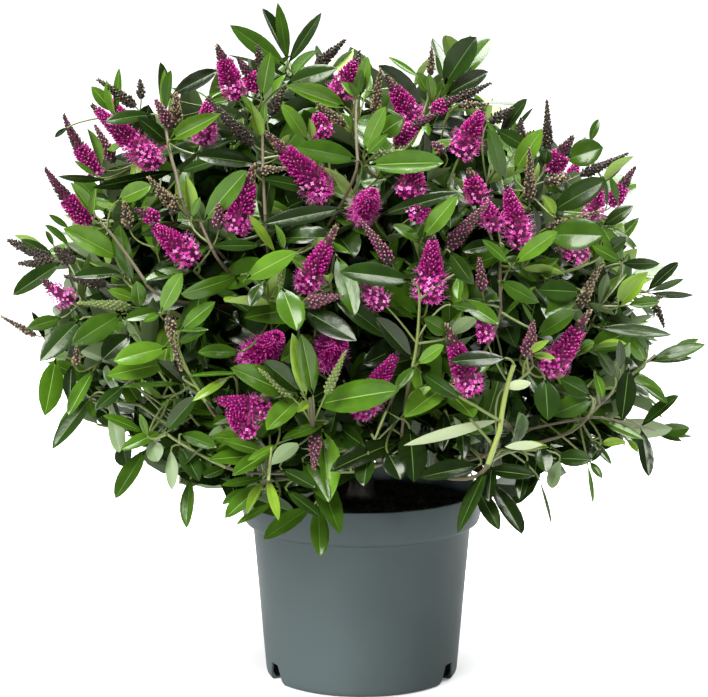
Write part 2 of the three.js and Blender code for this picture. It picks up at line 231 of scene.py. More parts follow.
def makeReliefGroup():
    # a height from coarse and fine noise, stretched along Z where asked
    tree, given, out = newGroup(
        "relief",
        (("Coarse Scale", "Float", 60.0), ("Fine Scale", "Float", 400.0), ("Fine Share", "Float", 0.4),
         ("Stretch", "Vector", (1.0, 1.0, 1.0))),
        (("Height", "Float"),))
    stretch = tree.nodes.new("ShaderNodeVectorMath")
    stretch.operation = "MULTIPLY"
    feed(tree, stretch.inputs[0], objectPlace(tree))
    feed(tree, stretch.inputs[1], given["Stretch"])
    coarse, fine = (addNoise(tree, stretch.outputs[0], given[label], noiseShape["reliefDetail"])
                    for label in ("Coarse Scale", "Fine Scale"))
    feed(tree, out["Height"], addMath(tree, "MULTIPLY_ADD", fine, given["Fine Share"], coarse))
    return tree


mottleGroup = makeMottleGroup()
reliefGroup = makeReliefGroup()


def useGroup(material, group, values):
    node = material.node_tree.nodes.new("ShaderNodeGroup")
    node.node_tree = group
    for name, value in values.items():
        node.inputs[name].default_value = value
    return node


def newMaterial(name, color, roughness, specular=0.5):
    material = bpy.data.materials.new(name)
    material.use_nodes = True
    shader = material.node_tree.nodes["Principled BSDF"]
    shader.inputs["Base Color"].default_value = (*color, 1)
    shader.inputs["Roughness"].default_value = roughness
    shader.inputs["Specular IOR Level"].default_value = specular
    material.diffuse_color = (*color, 1)
    return material, shader


def addMottle(material, shader, secondColor, scale, sharpness, unevenness):
    # scale, sharpness and unevenness are those of the mottle group
    node = useGroup(material, mottleGroup, {
        "Color": shader.inputs["Base Color"].default_value[:],
        "Second Color": (*secondColor, 1), "Scale": scale, "Sharpness": sharpness,
        "Roughness": shader.inputs["Roughness"].default_value, "Unevenness": unevenness})
    material.node_tree.links.new(node.outputs["Color"], shader.inputs["Base Color"])
    material.node_tree.links.new(node.outputs["Roughness"], shader.inputs["Roughness"])
    return node


def addRelief(material, shader, strength, distance, **values):
    labels = {"coarse": "Coarse Scale", "fine": "Fine Scale", "share": "Fine Share", "stretch": "Stretch"}
    node = useGroup(material, reliefGroup, {labels[name]: value for name, value in values.items()})
    bump = material.node_tree.nodes.new("ShaderNodeBump")
    bump.inputs["Strength"].default_value = strength
    bump.inputs["Distance"].default_value = distance
    material.node_tree.links.new(node.outputs["Height"], bump.inputs["Height"])
    material.node_tree.links.new(bump.outputs["Normal"], shader.inputs["Normal"])


# ---- pot ----

potShape = {
    "rimRadius": 0.1141, "collarRadius": 0.115, "collarHeight": 0.0215, "shoulderHeight": 0.0135,
    "neckRadius": 0.1045, "footRadius": 0.0926, "footRounding": 0.008, "baseRadius": 0.0884, "wall": 0.002,
    "lip": 0.0012,  # half the rounding of the rim's edge
    "footAngles": (0, 25, 50, 70, 90), "lipAngles": (0, 30, 60, 90, 120, 150, 180),
    "edgeInset": 0.0004, "edgeHeight": 0.0012,  # the rounding of the collar's lower edge
    # the shoulder outside, as shares of its step outwards and of its height
    "shoulderCurve": ((0, 0), (0.12, 0.05), (0.45, 0.16), (0.72, 0.3), (0.86, 0.55), (0.93, 0.85)),
    "innerStep": 0.4, "innerRise": 0.3, "innerDrop": 0.001,  # the same inside, plainer
    "around": 144,
    "height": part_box("pot")[1].z,
}

drainShape = {"azimuths": (-117.3, -62.7, 62.7, 117.3), "width": 0.039, "topWidth": 0.026, "height": 0.019,
              "depth": 0.008, "clearance": 0.008, "bevel": 0.0012}


def raiseWall(level, radius, oldRadius):
    # one more ring: extrudes the open edge to a level and a radius
    bpy.ops.mesh.extrude_region_move(TRANSFORM_OT_translate={"value": (0, 0, level)})
    scaleSelected(radius / oldRadius, radius / oldRadius, 1)


def turnProfile(profile, around):
    # a turned piece: a disc whose rim is drawn out ring by ring, left open at the end
    deselectAll()
    radius, level = profile[0]
    bpy.ops.mesh.primitive_circle_add(vertices=around, radius=radius, fill_type="NGON", location=(0, 0, 0))
    piece = bpy.context.object
    editAll()
    moveSelected(0, 0, level)
    for nextRadius, nextLevel in profile[1:]:
        raiseWall(nextLevel - level, nextRadius, radius)
        radius, level = nextRadius, nextLevel
    objectMode()
    return piece


def potProfile(shape):
    collarLevel = shape["height"] - shape["collarHeight"]
    shoulderLevel = collarLevel - shape["shoulderHeight"]
    step = shape["collarRadius"] - shape["neckRadius"]
    wall, lip = shape["wall"], shape["lip"]
    foot = [(shape["baseRadius"] + (shape["footRadius"] - shape["baseRadius"]) * math.sin(a),
             shape["footRounding"] * (1 - math.cos(a))) for a in np.radians(shape["footAngles"])]
    shoulder = [(shape["neckRadius"] + step * share, shoulderLevel + shape["shoulderHeight"] * rise)
                for share, rise in shape["shoulderCurve"]]
    collar = [(shape["collarRadius"] - shape["edgeInset"], collarLevel),
              (shape["collarRadius"], collarLevel + shape["edgeHeight"])]
    rim = [(shape["rimRadius"] - lip + lip * math.cos(a), shape["height"] - lip + lip * math.sin(a))
           for a in np.radians(shape["lipAngles"])]
    inside = [(shape["collarRadius"] - wall - shape["edgeInset"], collarLevel),
              (shape["collarRadius"] - wall - step * shape["innerStep"],
               shoulderLevel + shape["shoulderHeight"] * shape["innerRise"]),
              (shape["neckRadius"] - wall, shoulderLevel - shape["innerDrop"]),
              (shape["footRadius"] - wall, shape["footRounding"]), (shape["baseRadius"] - wall, wall)]
    return foot + shoulder + collar + rim + inside


def cutDrain(pot, azimuth, shape, baseRadius):
    # a notch with leaning sides, cut through the wall and floor at the foot
    deselectAll()
    depth = shape["depth"] + shape["clearance"]
    bpy.ops.mesh.primitive_cube_add(size=1, location=(0, 0, 0))
    cutter = bpy.context.object
    editAll()
    scaleSelected(shape["width"], depth, shape["height"] * 2)
    pick(cutter, lambda p: p.z > 0, "faces")
    narrowing = 2 * shape["topWidth"] / shape["width"] - 1
    scaleSelected(narrowing, 1, 1)
    selectAll()
    middle = baseRadius + shape["clearance"] - depth / 2
    moveSelected(0, -middle, 0)
    bpy.ops.mesh.bevel(offset=shape["bevel"], segments=2)
    objectMode()
    cutter.rotation_euler.z = math.radians(azimuth)
    bpy.context.view_layer.update()
    addModifier(pot, "BOOLEAN", operation="DIFFERENCE", object=cutter, solver="EXACT")
    applyModifiers(pot)
    bpy.data.objects.remove(cutter)


def makePotMaterial():
    # moulded blue-grey plastic, satin, with faint flow marks and a few dark specks
    finish = {"color": (0.0425, 0.055, 0.0555), "second": (0.038, 0.049, 0.0495), "roughness": 0.46,
              "specular": 0.06, "speckColor": (0.03, 0.036, 0.038), "speckScale": 55, "speckSize": 0.028}
    material, shader = newMaterial("potPlastic", finish["color"], finish["roughness"], finish["specular"])
    mottle = addMottle(material, shader, finish["second"], 9, 0.2, 0.08)
    addRelief(material, shader, 0.25, 0.0006, coarse=26, fine=900, share=0.12, stretch=(1, 1, 0.35))
    tree = material.node_tree
    cells = tree.nodes.new("ShaderNodeTexVoronoi")
    feed(tree, cells.inputs["Scale"], finish["speckScale"])
    feed(tree, cells.inputs["Vector"], objectPlace(tree))
    speck = addMath(tree, "LESS_THAN", cells.outputs["Distance"], finish["speckSize"])
    speckled = addBlend(tree, speck, mottle.outputs["Color"], (*finish["speckColor"], 1))
    feed(tree, shader.inputs["Base Color"], speckled)
    return material


def makePot():
    pot = turnProfile(potProfile(potShape), potShape["around"])
    editMode()
    bpy.ops.mesh.edge_face_add()  # the floor inside
    faceOutwards()
    objectMode()
    for azimuth in drainShape["azimuths"]:
        cutDrain(pot, azimuth, drainShape, potShape["baseRadius"])
    finishPiece(pot, "nurseryPot", [makePotMaterial()], ["pot"], 35)


makePot()
print("pot made")


# ---- soil ----

soilShape = {
    "centreLevel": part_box("soil")[1].z - 0.001, "edgeLevel": 0.1655, "crownRadius": 0.034,
    "footLevel": 0.018, "footInset": 0.014, "gap": 0.0006, "around": 96, "ringWidth": 0.0028,
    "sideRoom": 0.0004, "floorRoom": 0.0003, "neckRoom": 0.001, "neckDrop": 0.002,  # left free within the pot
    "lumps": 0.0045, "lumpSize": 0.02, "lumpMiddle": 0.75,
}

crumbShape = {"count": 1500, "smallest": 0.0009, "largest": 0.0034, "seed": 7, "reach": 0.108, "rise": 0.055,
              "sunk": 0.0012, "length": 1.7, "thickness": 0.7, "shares": (0.72, 0.14, 0.14),
              "roughness": 0.35, "levelling": (1, 1, 0.3)}


def makeSoilMaterials():
    materials = []
    for name, color, second in (
            ("soilDark", (0.010, 0.0075, 0.006), (0.026, 0.017, 0.011)),
            ("soilChip", (0.075, 0.032, 0.020), (0.035, 0.018, 0.012)),
            ("soilFibre", (0.070, 0.055, 0.042), (0.030, 0.022, 0.016))):
        material, shader = newMaterial(name, color, 0.85)
        addMottle(material, shader, second, 180, 0.6, 0.1)
        addRelief(material, shader, 0.7, 0.0012, coarse=240, fine=900, share=0.6)
        materials.append(material)
    return materials


def soilProfile(shape):
    collarLevel = potShape["height"] - potShape["collarHeight"]
    shoulderLevel = collarLevel - potShape["shoulderHeight"]
    inset = potShape["wall"] + shape["gap"]
    slope = (potShape["neckRadius"] - potShape["footRadius"]) / (shoulderLevel - potShape["footRounding"])
    footTop = shape["footLevel"] + shape["footInset"]
    foot = potShape["baseRadius"] - shape["footInset"]
    topRadius = potShape["rimRadius"] - inset - shape["sideRoom"]
    return [(foot, potShape["wall"] + shape["floorRoom"]), (foot, shape["footLevel"]),
            (potShape["footRadius"] - inset + slope * (footTop - potShape["footRounding"]), footTop),
            (potShape["neckRadius"] - inset - shape["neckRoom"], shoulderLevel - shape["neckDrop"]),
            (topRadius, collarLevel), (topRadius, shape["edgeLevel"])]


def makeSoil():
    shape = soilShape
    soil = turnProfile(soilProfile(shape), shape["around"])
    radius = potShape["rimRadius"] - potShape["wall"] - shape["gap"] - shape["sideRoom"]
    editMode()
    rise = (shape["centreLevel"] - shape["edgeLevel"]) / (radius - shape["crownRadius"])
    while radius > 2.5 * shape["ringWidth"]:
        nextRadius = radius - shape["ringWidth"]
        climb = rise * shape["ringWidth"] if nextRadius > shape["crownRadius"] else 0
        raiseWall(climb, nextRadius, radius)
        radius = nextRadius
    bpy.ops.mesh.merge(type="CENTER")
    faceOutwards()
    pick(soil, lambda p: p.z > shape["edgeLevel"] - 0.0001)
    group = soil.vertex_groups.new(name="top")
    bpy.ops.object.vertex_group_assign()
    objectMode()
    lumps = bpy.data.textures.new("lumps", "CLOUDS")
    lumps.noise_scale = shape["lumpSize"]
    lumps.noise_depth = 4
    addModifier(soil, "DISPLACE", texture=lumps, texture_coords="LOCAL", direction="Z",
                mid_level=shape["lumpMiddle"], strength=shape["lumps"] * 2, vertex_group=group.name)
    applyModifiers(soil)
    materials = makeSoilMaterials()
    finishPiece(soil, "compost", materials[:1], ["soil"], 60)
    return materials


# ---- joined copies ----

def templateOf(piece):
    # reads a modelled piece into arrays and removes it
    data = piece.data
    points = np.zeros(len(data.vertices) * 3)
    data.vertices.foreach_get("co", points)
    corners = np.zeros(len(data.loops), int)
    data.loops.foreach_get("vertex_index", corners)
    totals = np.zeros(len(data.polygons), int)
    data.polygons.foreach_get("loop_total", totals)
    slots = np.zeros(len(data.polygons), int)
    data.polygons.foreach_get("material_index", slots)
    bpy.data.objects.remove(piece)
    return {"points": points.reshape(-1, 3), "corners": corners, "totals": totals, "slots": slots}


def copiesOf(template, matrices, slotTable=None):
    # many placed copies of a template as one set of arrays; slotTable gives each copy's slots
    matrices = np.asarray(matrices, float)
    count, size = len(matrices), len(template["points"])
    points = np.einsum("mij,nj->mni", matrices[:, :3, :3], template["points"]) + matrices[:, None, :3, 3]
    corners = template["corners"][None, :] + (np.arange(count) * size)[:, None]
    slots = np.tile(template["slots"], (count, 1))
    if slotTable is not None:
        slots = np.take_along_axis(np.asarray(slotTable), slots, axis=1)
    return {"points": points.reshape(-1, 3), "corners": corners.ravel(),
            "totals": np.tile(template["totals"], count), "slots": slots.ravel()}


def meshFrom(name, parts):
    # one object from several sets of arrays
    parts = [part for part in parts if len(part["points"])]
    offsets = np.cumsum([0] + [len(part["points"]) for part in parts[:-1]])
    points = np.concatenate([part["points"] for part in parts])
    corners = np.concatenate([part["corners"] + offset for part, offset in zip(parts, offsets)])
    totals = np.concatenate([part["totals"] for part in parts])
    slots = np.concatenate([part["slots"] for part in parts])
    data = bpy.data.meshes.new(name)
    data.vertices.add(len(points))
    data.vertices.foreach_set("co", points.astype(np.float32).ravel())
    data.loops.add(len(corners))
    data.loops.foreach_set("vertex_index", corners.astype(np.int32))
    data.polygons.add(len(totals))
    data.polygons.foreach_set("loop_start", (np.cumsum(totals) - totals).astype(np.int32))
    data.polygons.foreach_set("material_index", slots.astype(np.int32))
    data.update(calc_edges=True)
    data.validate()
    piece = bpy.data.objects.new(name, data)
    scene.collection.objects.link(piece)
    return piece


def normalized(vector):
    return vector / np.linalg.norm(vector)


def placed(origin, along, normal, scale=(1, 1, 1)):
    # a frame with X along, Z near the normal, scaled along its own axes
    side = normalized(np.cross(normal, along))
    face = np.cross(along, side)
    matrix = np.eye(4)
    matrix[:3, 0], matrix[:3, 1], matrix[:3, 2] = along * scale[0], side * scale[1], face * scale[2]
    matrix[:3, 3] = origin
    return matrix


def makeCrumbs(materials):
    shape = crumbShape
    deselectAll()
    bpy.ops.mesh.primitive_ico_sphere_add(subdivisions=1, radius=1)
    crumb = bpy.context.object
    editMode()
    bpy.ops.transform.vertex_random(offset=shape["roughness"], seed=3)
    objectMode()
    template = templateOf(crumb)
    draw = np.random.default_rng(shape["seed"])
    matrices, tints = [], []
    for _ in range(shape["count"]):
        radius = shape["reach"] * math.sqrt(draw.random())
        turn = draw.random() * 2 * math.pi
        size = shape["smallest"] + (shape["largest"] - shape["smallest"]) * draw.random() ** 3
        fromEdge = shape["reach"] - max(radius, soilShape["crownRadius"])
        level = soilShape["edgeLevel"] + fromEdge * shape["rise"]
        along = normalized(draw.normal(size=3) * shape["levelling"])
        place = (radius * math.cos(turn), radius * math.sin(turn), level - shape["sunk"])
        scale = size * shape["length"], size, size * shape["thickness"]
        matrices.append(placed(np.array(place), along, np.array([0, 0, 1.0]), scale))
        tints.append([draw.choice(3, p=shape["shares"])])
    crumbs = meshFrom("compostCrumbs", [copiesOf(template, matrices, tints)])
    finishPiece(crumbs, "compostCrumbs", materials, (), 50)


makeCrumbs(makeSoil())
print("soil made")


# ---- the crown's plan, by the same rule as the solids ----

upward = np.array([0.0, 0.0, 1.0])

trunkShape = {
    "knobRadius": 0.0145, "flareRadius": 0.020, "flareHeight": 0.012, "waistRadius": 0.011, "around": 28,
    # the flare's curve: shares of its width beyond the waist and of its height
    "flareCurve": ((0.35, 0.4), (0.1, 1)),
    # the knob's curve: radius and height from its middle, as shares of its radius
    "knobCurve": ((0.92, -0.3), (0.8, 0.4), (0.4, 0.8)),
    "voxel": 0.0011, "ridgeSize": 0.004, "ridgeDepth": 0.0009,
}
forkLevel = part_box("trunk")[1].z - trunkShape["knobRadius"]
fork = np.array([0.0, 0.0, forkLevel])

crown = {
    "levelReach": 0.306, "topGain": 0.092, "skirtLoss": 0.320, "leastReach": 0.186, "sideLean": 0.022,
    "unevenness": 0.04, "lowestElevation": -24, "shootSpacing": 13, "candidates": 1500,
    "seed": 19, "leafLength": 0.114, "leafShare": 0.56, "inset": 0.009,
    "bloomElevation": 2,  # the solids draw for a spike above it
}

# name, count, elevation and first azimuth
tiers = (("top", 1, 86, -90), ("upper", 5, 46, -36), ("lower", 7, 3, 12))

boughShape = {"baseRadius": 0.0042, "tipRadius": 0.0032, "share": 0.36, "bow": 0.05, "swelling": 1.15}
stemShape = {"share": 0.6, "firstTwig": 0.1, "twigSpan": 0.87, "rise": 0.1, "lowRise": 0.4, "knee": 0.55}

# shoots that make the outline: azimuth, elevation and reach from the fork
outlineShoots = (
    (-90, 79, 0.413), (90, 75, 0.396), (91, 61, 0.366), (89, 47, 0.371), (92, 31, 0.345), (90, 15, 0.342),
    (92, 1, 0.316), (-88, 3, 0.317), (-90, 17, 0.363), (-92, 30, 0.386), (-90, 42, 0.394), (-88, 53, 0.421))

# shoots that carry the fullest blooms, by azimuth and elevation
bloomShoots = (
    (-57, 50), (-34, 36), (-41, 64), (-21, 44), (-8, 52), (-6, 35), (6, 45), (10, 61), (25, 55), (12, 32),
    (-17, 25), (-5, 24), (-22, 13), (1, 13), (16, 20), (34, 24), (29, 41), (-8, 5), (-64, 28), (43, 50),
    (52, 38), (-74, 41), (-6, 70))

soilWindow = {"fromAzimuth": -12, "toAzimuth": 36, "elevation": -4}


def seededRandom(seed):
    state = (seed * 2654435 + 97531) % 4294967296

    def draw():
        nonlocal state
        state = (state * 1664525 + 1013904223) % 4294967296
        return state / 4294967296

    return draw


def directionAt(azimuth, elevation):
    a, e = math.radians(azimuth), math.radians(elevation)
    return np.array([math.sin(a) * math.cos(e), -math.cos(a) * math.cos(e), math.sin(e)])


def reachAt(direction):
    x, z = direction[..., 0], direction[..., 2]
    gain = np.where(z > 0, crown["topGain"], crown["skirtLoss"])
    lean = crown["sideLean"] * x * np.minimum(1, 3 * z)
    return np.maximum(crown["levelReach"] + gain * z - lean, crown["leastReach"])


def angleBetween(one, other):
    return math.degrees(math.acos(max(-1.0, min(1.0, float(one @ other)))))


def makeCells():
    cells = []
    for name, count, elevation, firstAzimuth in tiers:
        for i in range(count):
            label = f"{name}_{i + 1}" if count > 1 else name
            cells.append({"name": label, "axis": directionAt(firstAzimuth + 360 * i / count, elevation)})
    return cells


def depthInCell(point, cell, cells):
    offset = point - fork
    return min(float(offset @ normalized(cell["axis"] - other["axis"]))
               for other in cells if other is not cell)


def inSoilWindow(azimuth, elevation):
    inside = soilWindow["fromAzimuth"] < azimuth < soilWindow["toAzimuth"]
    return inside and elevation < soilWindow["elevation"]


def shootPlan(cells):
    shoots = []
    for azimuth, elevation in bloomShoots:
        direction = directionAt(azimuth, elevation)
        shoots.append({"direction": direction, "reach": float(reachAt(direction))})
    for azimuth, elevation, reach in outlineShoots:
        shoots.append({"direction": directionAt(azimuth, elevation), "reach": reach})
    draw = seededRandom(crown["seed"])
    lowest = math.sin(math.radians(crown["lowestElevation"]))
    for _ in range(crown["candidates"]):
        elevation = math.degrees(math.asin(lowest + (1 - lowest) * draw()))
        azimuth = draw() * 360 - 180
        if elevation > crown["bloomElevation"]:
            draw()
        direction = directionAt(azimuth, elevation)
        room = min(angleBetween(direction, other["direction"]) for other in shoots)
        if room < crown["shootSpacing"] or inSoilWindow(azimuth, elevation):
            continue
        reach = float(reachAt(direction)) * (1 - crown["unevenness"] * draw())
        shoots.append({"direction": direction, "reach": reach})
    for i, shoot in enumerate(shoots):
        shoot["number"] = i + 1
        shoot["cell"] = max(cells, key=lambda cell: float(cell["axis"] @ shoot["direction"]))
    return shoots


def bendPath(start, knee, end, steps=14):
    t = np.linspace(0, 1, steps + 1)[:, None]
    return (1 - t) ** 2 * start + 2 * t * (1 - t) * knee + t ** 2 * end


def pathLength(path):
    return float(np.linalg.norm(np.diff(path, axis=0), axis=1).sum())


def onPath(path, distance):
    # the point and heading at a distance along a path
    steps = np.linalg.norm(np.diff(path, axis=0), axis=1)
    marks = np.concatenate([[0], np.cumsum(steps)])
    distance = min(max(distance, 0), marks[-1])
    i = min(int(np.searchsorted(marks, distance, side="right")) - 1, len(steps) - 1)
    share = (distance - marks[i]) / steps[i]
    return path[i] + (path[i + 1] - path[i]) * share, (path[i + 1] - path[i]) / steps[i]


def boughPath(cell):
    start = fork + cell["axis"] * trunkShape["knobRadius"]
    tip = fork + cell["axis"] * float(reachAt(cell["axis"])) * boughShape["share"]
    middle = (start + tip) / 2 - upward * np.linalg.norm(tip - start) * boughShape["bow"]
    return bendPath(start, middle, tip)


def stemPath(cell):
    start = boughPath(cell)[-1]
    return np.linspace(start, fork + cell["axis"] * float(reachAt(cell["axis"])) * stemShape["share"], 4)


def shootPath(start, tip, direction):
    sag = np.linalg.norm(tip - start) * stemShape["rise"] * (1 if direction[2] > 0 else stemShape["lowRise"])
    knee = start + (tip - start) * stemShape["knee"] + direction * sag - upward * sag
    return bendPath(start, knee, tip)


cells = makeCells()
shoots = shootPlan(cells)
print("crown planned:", len(shoots), "shoots")


# ---- trunk and boughs ----

def makeShadedBarkMaterial():
    # the bark's own brown darkened to near black: painted shade of the crown's inside
    finish = {"color": (0.021, 0.017, 0.012), "second": (0.012, 0.010, 0.007), "roughness": 0.85}
    material, shader = newMaterial("bark", finish["color"], finish["roughness"])
    addMottle(material, shader, finish["second"], 90, 0.7, 0.1)
    addRelief(material, shader, 0.8, 0.0012, coarse=210, fine=800, share=0.4, stretch=(1, 1, 0.3))
    return material


def addLimb(path, baseRadius, tipRadius):
    # a tapering round limb along a path
    deselectAll()
    bpy.ops.curve.primitive_nurbs_path_add(location=(0, 0, 0))
    limb = bpy.context.object
    curve = limb.data
    curve.splines.clear()
    spline = curve.splines.new("POLY")
    spline.points.add(len(path) - 1)
    for i, point in enumerate(path):
        share = i / (len(path) - 1)
        spline.points[i].co = (*point, 1)
        spline.points[i].radius = 1 + (tipRadius / baseRadius - 1) * share
    curve.bevel_depth = baseRadius
    curve.bevel_resolution = 3
    curve.use_fill_caps = True
    bpy.ops.object.convert(target="MESH")
    return bpy.context.object


def makeLimbs():
    # trunk and boughs grown together, with the bark's ridges as real relief
    shape = trunkShape
    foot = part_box("trunk")[0].z
    flare = shape["flareRadius"] - shape["waistRadius"]
    profile = [(shape["flareRadius"], foot)]
    profile += [(shape["waistRadius"] + flare * share, foot + shape["flareHeight"] * rise)
                for share, rise in shape["flareCurve"]]
    profile += [(shape["waistRadius"], foot + shape["flareHeight"] * 2),
                (shape["waistRadius"], forkLevel - shape["knobRadius"])]
    profile += [(shape["knobRadius"] * share, forkLevel + shape["knobRadius"] * rise)
                for share, rise in shape["knobCurve"]]
    trunk = turnProfile(profile, shape["around"])
    editMode()
    bpy.ops.mesh.edge_face_add()
    faceOutwards()
    objectMode()
    parts = [trunk]
    for cell in cells:
        path = boughPath(cell)
        path[0] = fork + cell["axis"] * shape["knobRadius"] * 0.3
        baseRadius = boughShape["baseRadius"] * boughShape["swelling"]
        parts.append(addLimb(path, baseRadius, boughShape["tipRadius"]))
    deselectAll()
    for part in parts:
        part.select_set(True)
    bpy.context.view_layer.objects.active = trunk
    bpy.ops.object.join()
    ridges = bpy.data.textures.new("ridges", "VORONOI")
    ridges.noise_scale = shape["ridgeSize"]
    addModifier(trunk, "REMESH", mode="VOXEL", voxel_size=shape["voxel"])
    addModifier(trunk, "SMOOTH", factor=0.5, iterations=4)
    addModifier(trunk, "DISPLACE", texture=ridges, texture_coords="LOCAL", direction="NORMAL", mid_level=0.5,
                strength=shape["ridgeDepth"])
    applyModifiers(trunk)
    replaced = ["trunk"] + [f"bough_{cell['name']}" for cell in cells]
    finishPiece(trunk, "trunkAndBoughs", [makeShadedBarkMaterial()], replaced, 60)


makeLimbs()
print("trunk and boughs made")


# ---- leaf, floret, stamen and bud, each modelled once ----

def slotNames(piece, names):
    for name in names:
        piece.data.materials.append(bpy.data.materials.get(name) or bpy.data.materials.new(name))


def modelSheet(form, strips):
    # one side of a leaf along +X, one unit long and one wide, folded up from its rib
    deselectAll()
    rows, aside = form["rows"], 3  # a row that has its shape is set aside, so that no later pick takes it
    bpy.ops.mesh.primitive_grid_add(x_subdivisions=len(rows) - 1, y_subdivisions=strips, size=1)
    sheet = bpy.context.object
    editMode()
    ribEdge = 0.5 / strips
    pick(sheet, lambda p: abs(p.y) < ribEdge * 1.1)
    scaleSelected(1, form["rib"] / ribEdge, 1)
    pick(sheet, lambda p: 0.2 < abs(p.y) < 0.4)
    moveSelected(0, 0, 0.56 * form["fold"] + form["swell"])
    pick(sheet, lambda p: abs(p.y) > 0.4)
    moveSelected(0, 0, form["fold"])
    for i, (along, width) in enumerate(rows):
        old = i / (len(rows) - 1) - 0.5
        pick(sheet, lambda p: abs(p.x - old) < 0.02)
        scaleSelected(1, width, width)
        moveSelected(aside + along - old, 0, 0)
    selectAll()
    moveSelected(-aside, 0, 0)
    objectMode()
    return sheet


def modelLeaf(form):
    # blade and pale rib above, a plainer underside below, closed along the margin
    upper = modelSheet(form, form["strips"])
    slotNames(upper, ("blade", "rib", "under"))
    editMode()
    pick(upper, lambda p: abs(p.y) < 0.01, "faces")
    giveSlot(upper, 1)
    objectMode()
    lower = modelSheet(form, 3)
    slotNames(lower, ("blade", "rib", "under"))
    editAll()
    giveSlot(lower, 2)
    bpy.ops.mesh.flip_normals()
    pick(lower, lambda p: abs(p.y) < form["rib"] * 1.01 and 0.1 < p.x < 0.95)
    moveSelected(0, 0, -form["thickness"])
    objectMode()
    upper.select_set(True)
    bpy.context.view_layer.objects.active = upper
    bpy.ops.object.join()
    editAll()
    bpy.ops.mesh.remove_doubles(threshold=0.001)
    objectMode()
    deform(upper, "TWIST", "X", form["twist"])
    rollOver(upper, -90)  # a bend turns about Z, so the leaf lies on its edge for it
    deform(upper, "BEND", "Z", form["arch"])
    rollOver(upper, 90)
    return templateOf(upper)


def deform(piece, method, axis, degrees):
    addModifier(piece, "SIMPLE_DEFORM", deform_method=method, deform_axis=axis, angle=math.radians(degrees))
    applyModifiers(piece)


def rollOver(piece, degrees):
    choose(piece)
    editAll()
    turnSelected(degrees, "X")
    objectMode()


# outlines of a leaf: shares of its length and of its width
leafRows = ((0, 0), (0.06, 0.17), (0.16, 0.52), (0.30, 0.86), (0.45, 1.0), (0.61, 0.95), (0.76, 0.74),
            (0.89, 0.41), (1, 0))
youngRows = ((0, 0), (0.05, 0.22), (0.17, 0.60), (0.34, 0.90), (0.54, 1.0), (0.72, 0.84), (0.88, 0.50),
             (1, 0))
plainRows = ((0, 0), (0.24, 0.74), (0.5, 1.0), (0.77, 0.70), (1, 0))


def leafForm(rows, rib, fold, swell, twist, arch, strips=5):
    # the rib is as thick as it is wide
    return {"rows": rows, "rib": rib, "fold": fold, "swell": swell, "thickness": rib, "twist": twist,
            "arch": arch, "strips": strips}


leafForms = {
    "flat": leafForm(leafRows, 0.02, fold=0.06, swell=0.05, twist=0, arch=20),
    "arched": leafForm(leafRows, 0.02, fold=0.10, swell=0.06, twist=12, arch=42),
    "recurved": leafForm(leafRows, 0.02, fold=0.14, swell=0.06, twist=-14, arch=68),
    "folded": leafForm(leafRows, 0.02, fold=0.24, swell=0.04, twist=6, arch=26),
    "young": leafForm(youngRows, 0.03, fold=0.50, swell=0.03, twist=4, arch=-8),
    "plain": leafForm(plainRows, 0.02, fold=0.10, swell=0.05, twist=8, arch=34, strips=3),
}


def modelDiamond():
    # a closed form of eight faces, one unit across, with a point at each end of Z
    bpy.ops.mesh.primitive_cone_add(vertices=4, radius1=0.5, radius2=0, depth=0.5, location=(0, 0, 0))
    diamond = bpy.context.object
    editAll()
    moveSelected(0, 0, 0.25)
    pick(diamond, lambda p: p.z < 0.01, "faces")
    bpy.ops.mesh.poke()
    pick(diamond, lambda p: p.length < 0.01)
    moveSelected(0, 0, -0.5)
    objectMode()
    return diamond


def modelFloret(form):
    # four narrow petals round a short tube, one unit long, opening along +X
    deselectAll()
    bpy.ops.mesh.primitive_cone_add(vertices=4, radius1=form["neck"], radius2=form["throat"],
                                    depth=form["tube"])
    floret = bpy.context.object
    slotNames(floret, ("petal", "throat"))
    editAll()
    giveSlot(floret, 1)
    moveSelected(0, 0, form["tube"] / 2)
    objectMode()
    petals = [floret]
    for i, (length, tilt) in enumerate(zip(form["lengths"], form["tilts"])):
        deselectAll()
        petal = modelDiamond()
        slotNames(petal, ("petal", "throat"))
        editAll()
        bpy.ops.transform.resize(value=(form["thickness"], form["width"], length))
        moveSelected(0, 0, length / 2)
        pick(petal, lambda p: abs(p.y) > 0.05)
        moveSelected(form["cup"], 0, length * 0.1)
        selectAll()
        moveSelected(-form["throat"] * 0.7, 0, form["tube"] * 0.9)
        turnSelected(tilt, "Y", (-form["throat"] * 0.7, 0, form["tube"] * 0.9))
        turnSelected(90 * i, "Z")
        objectMode()
        petals.append(petal)
    layAlong(petals)
    return joinTemplate(petals)


def layAlong(parts):
    # turns upright parts over, to lie along +X
    for part in parts:
        choose(part)
        editAll()
        turnSelected(-90, "Y")
        objectMode()


def joinTemplate(parts):
    deselectAll()
    for part in parts:
        part.select_set(True)
    bpy.context.view_layer.objects.active = parts[0]
    if len(parts) > 1:
        bpy.ops.object.join()
    editMode()
    faceOutwards()
    objectMode()
    return templateOf(parts[0])


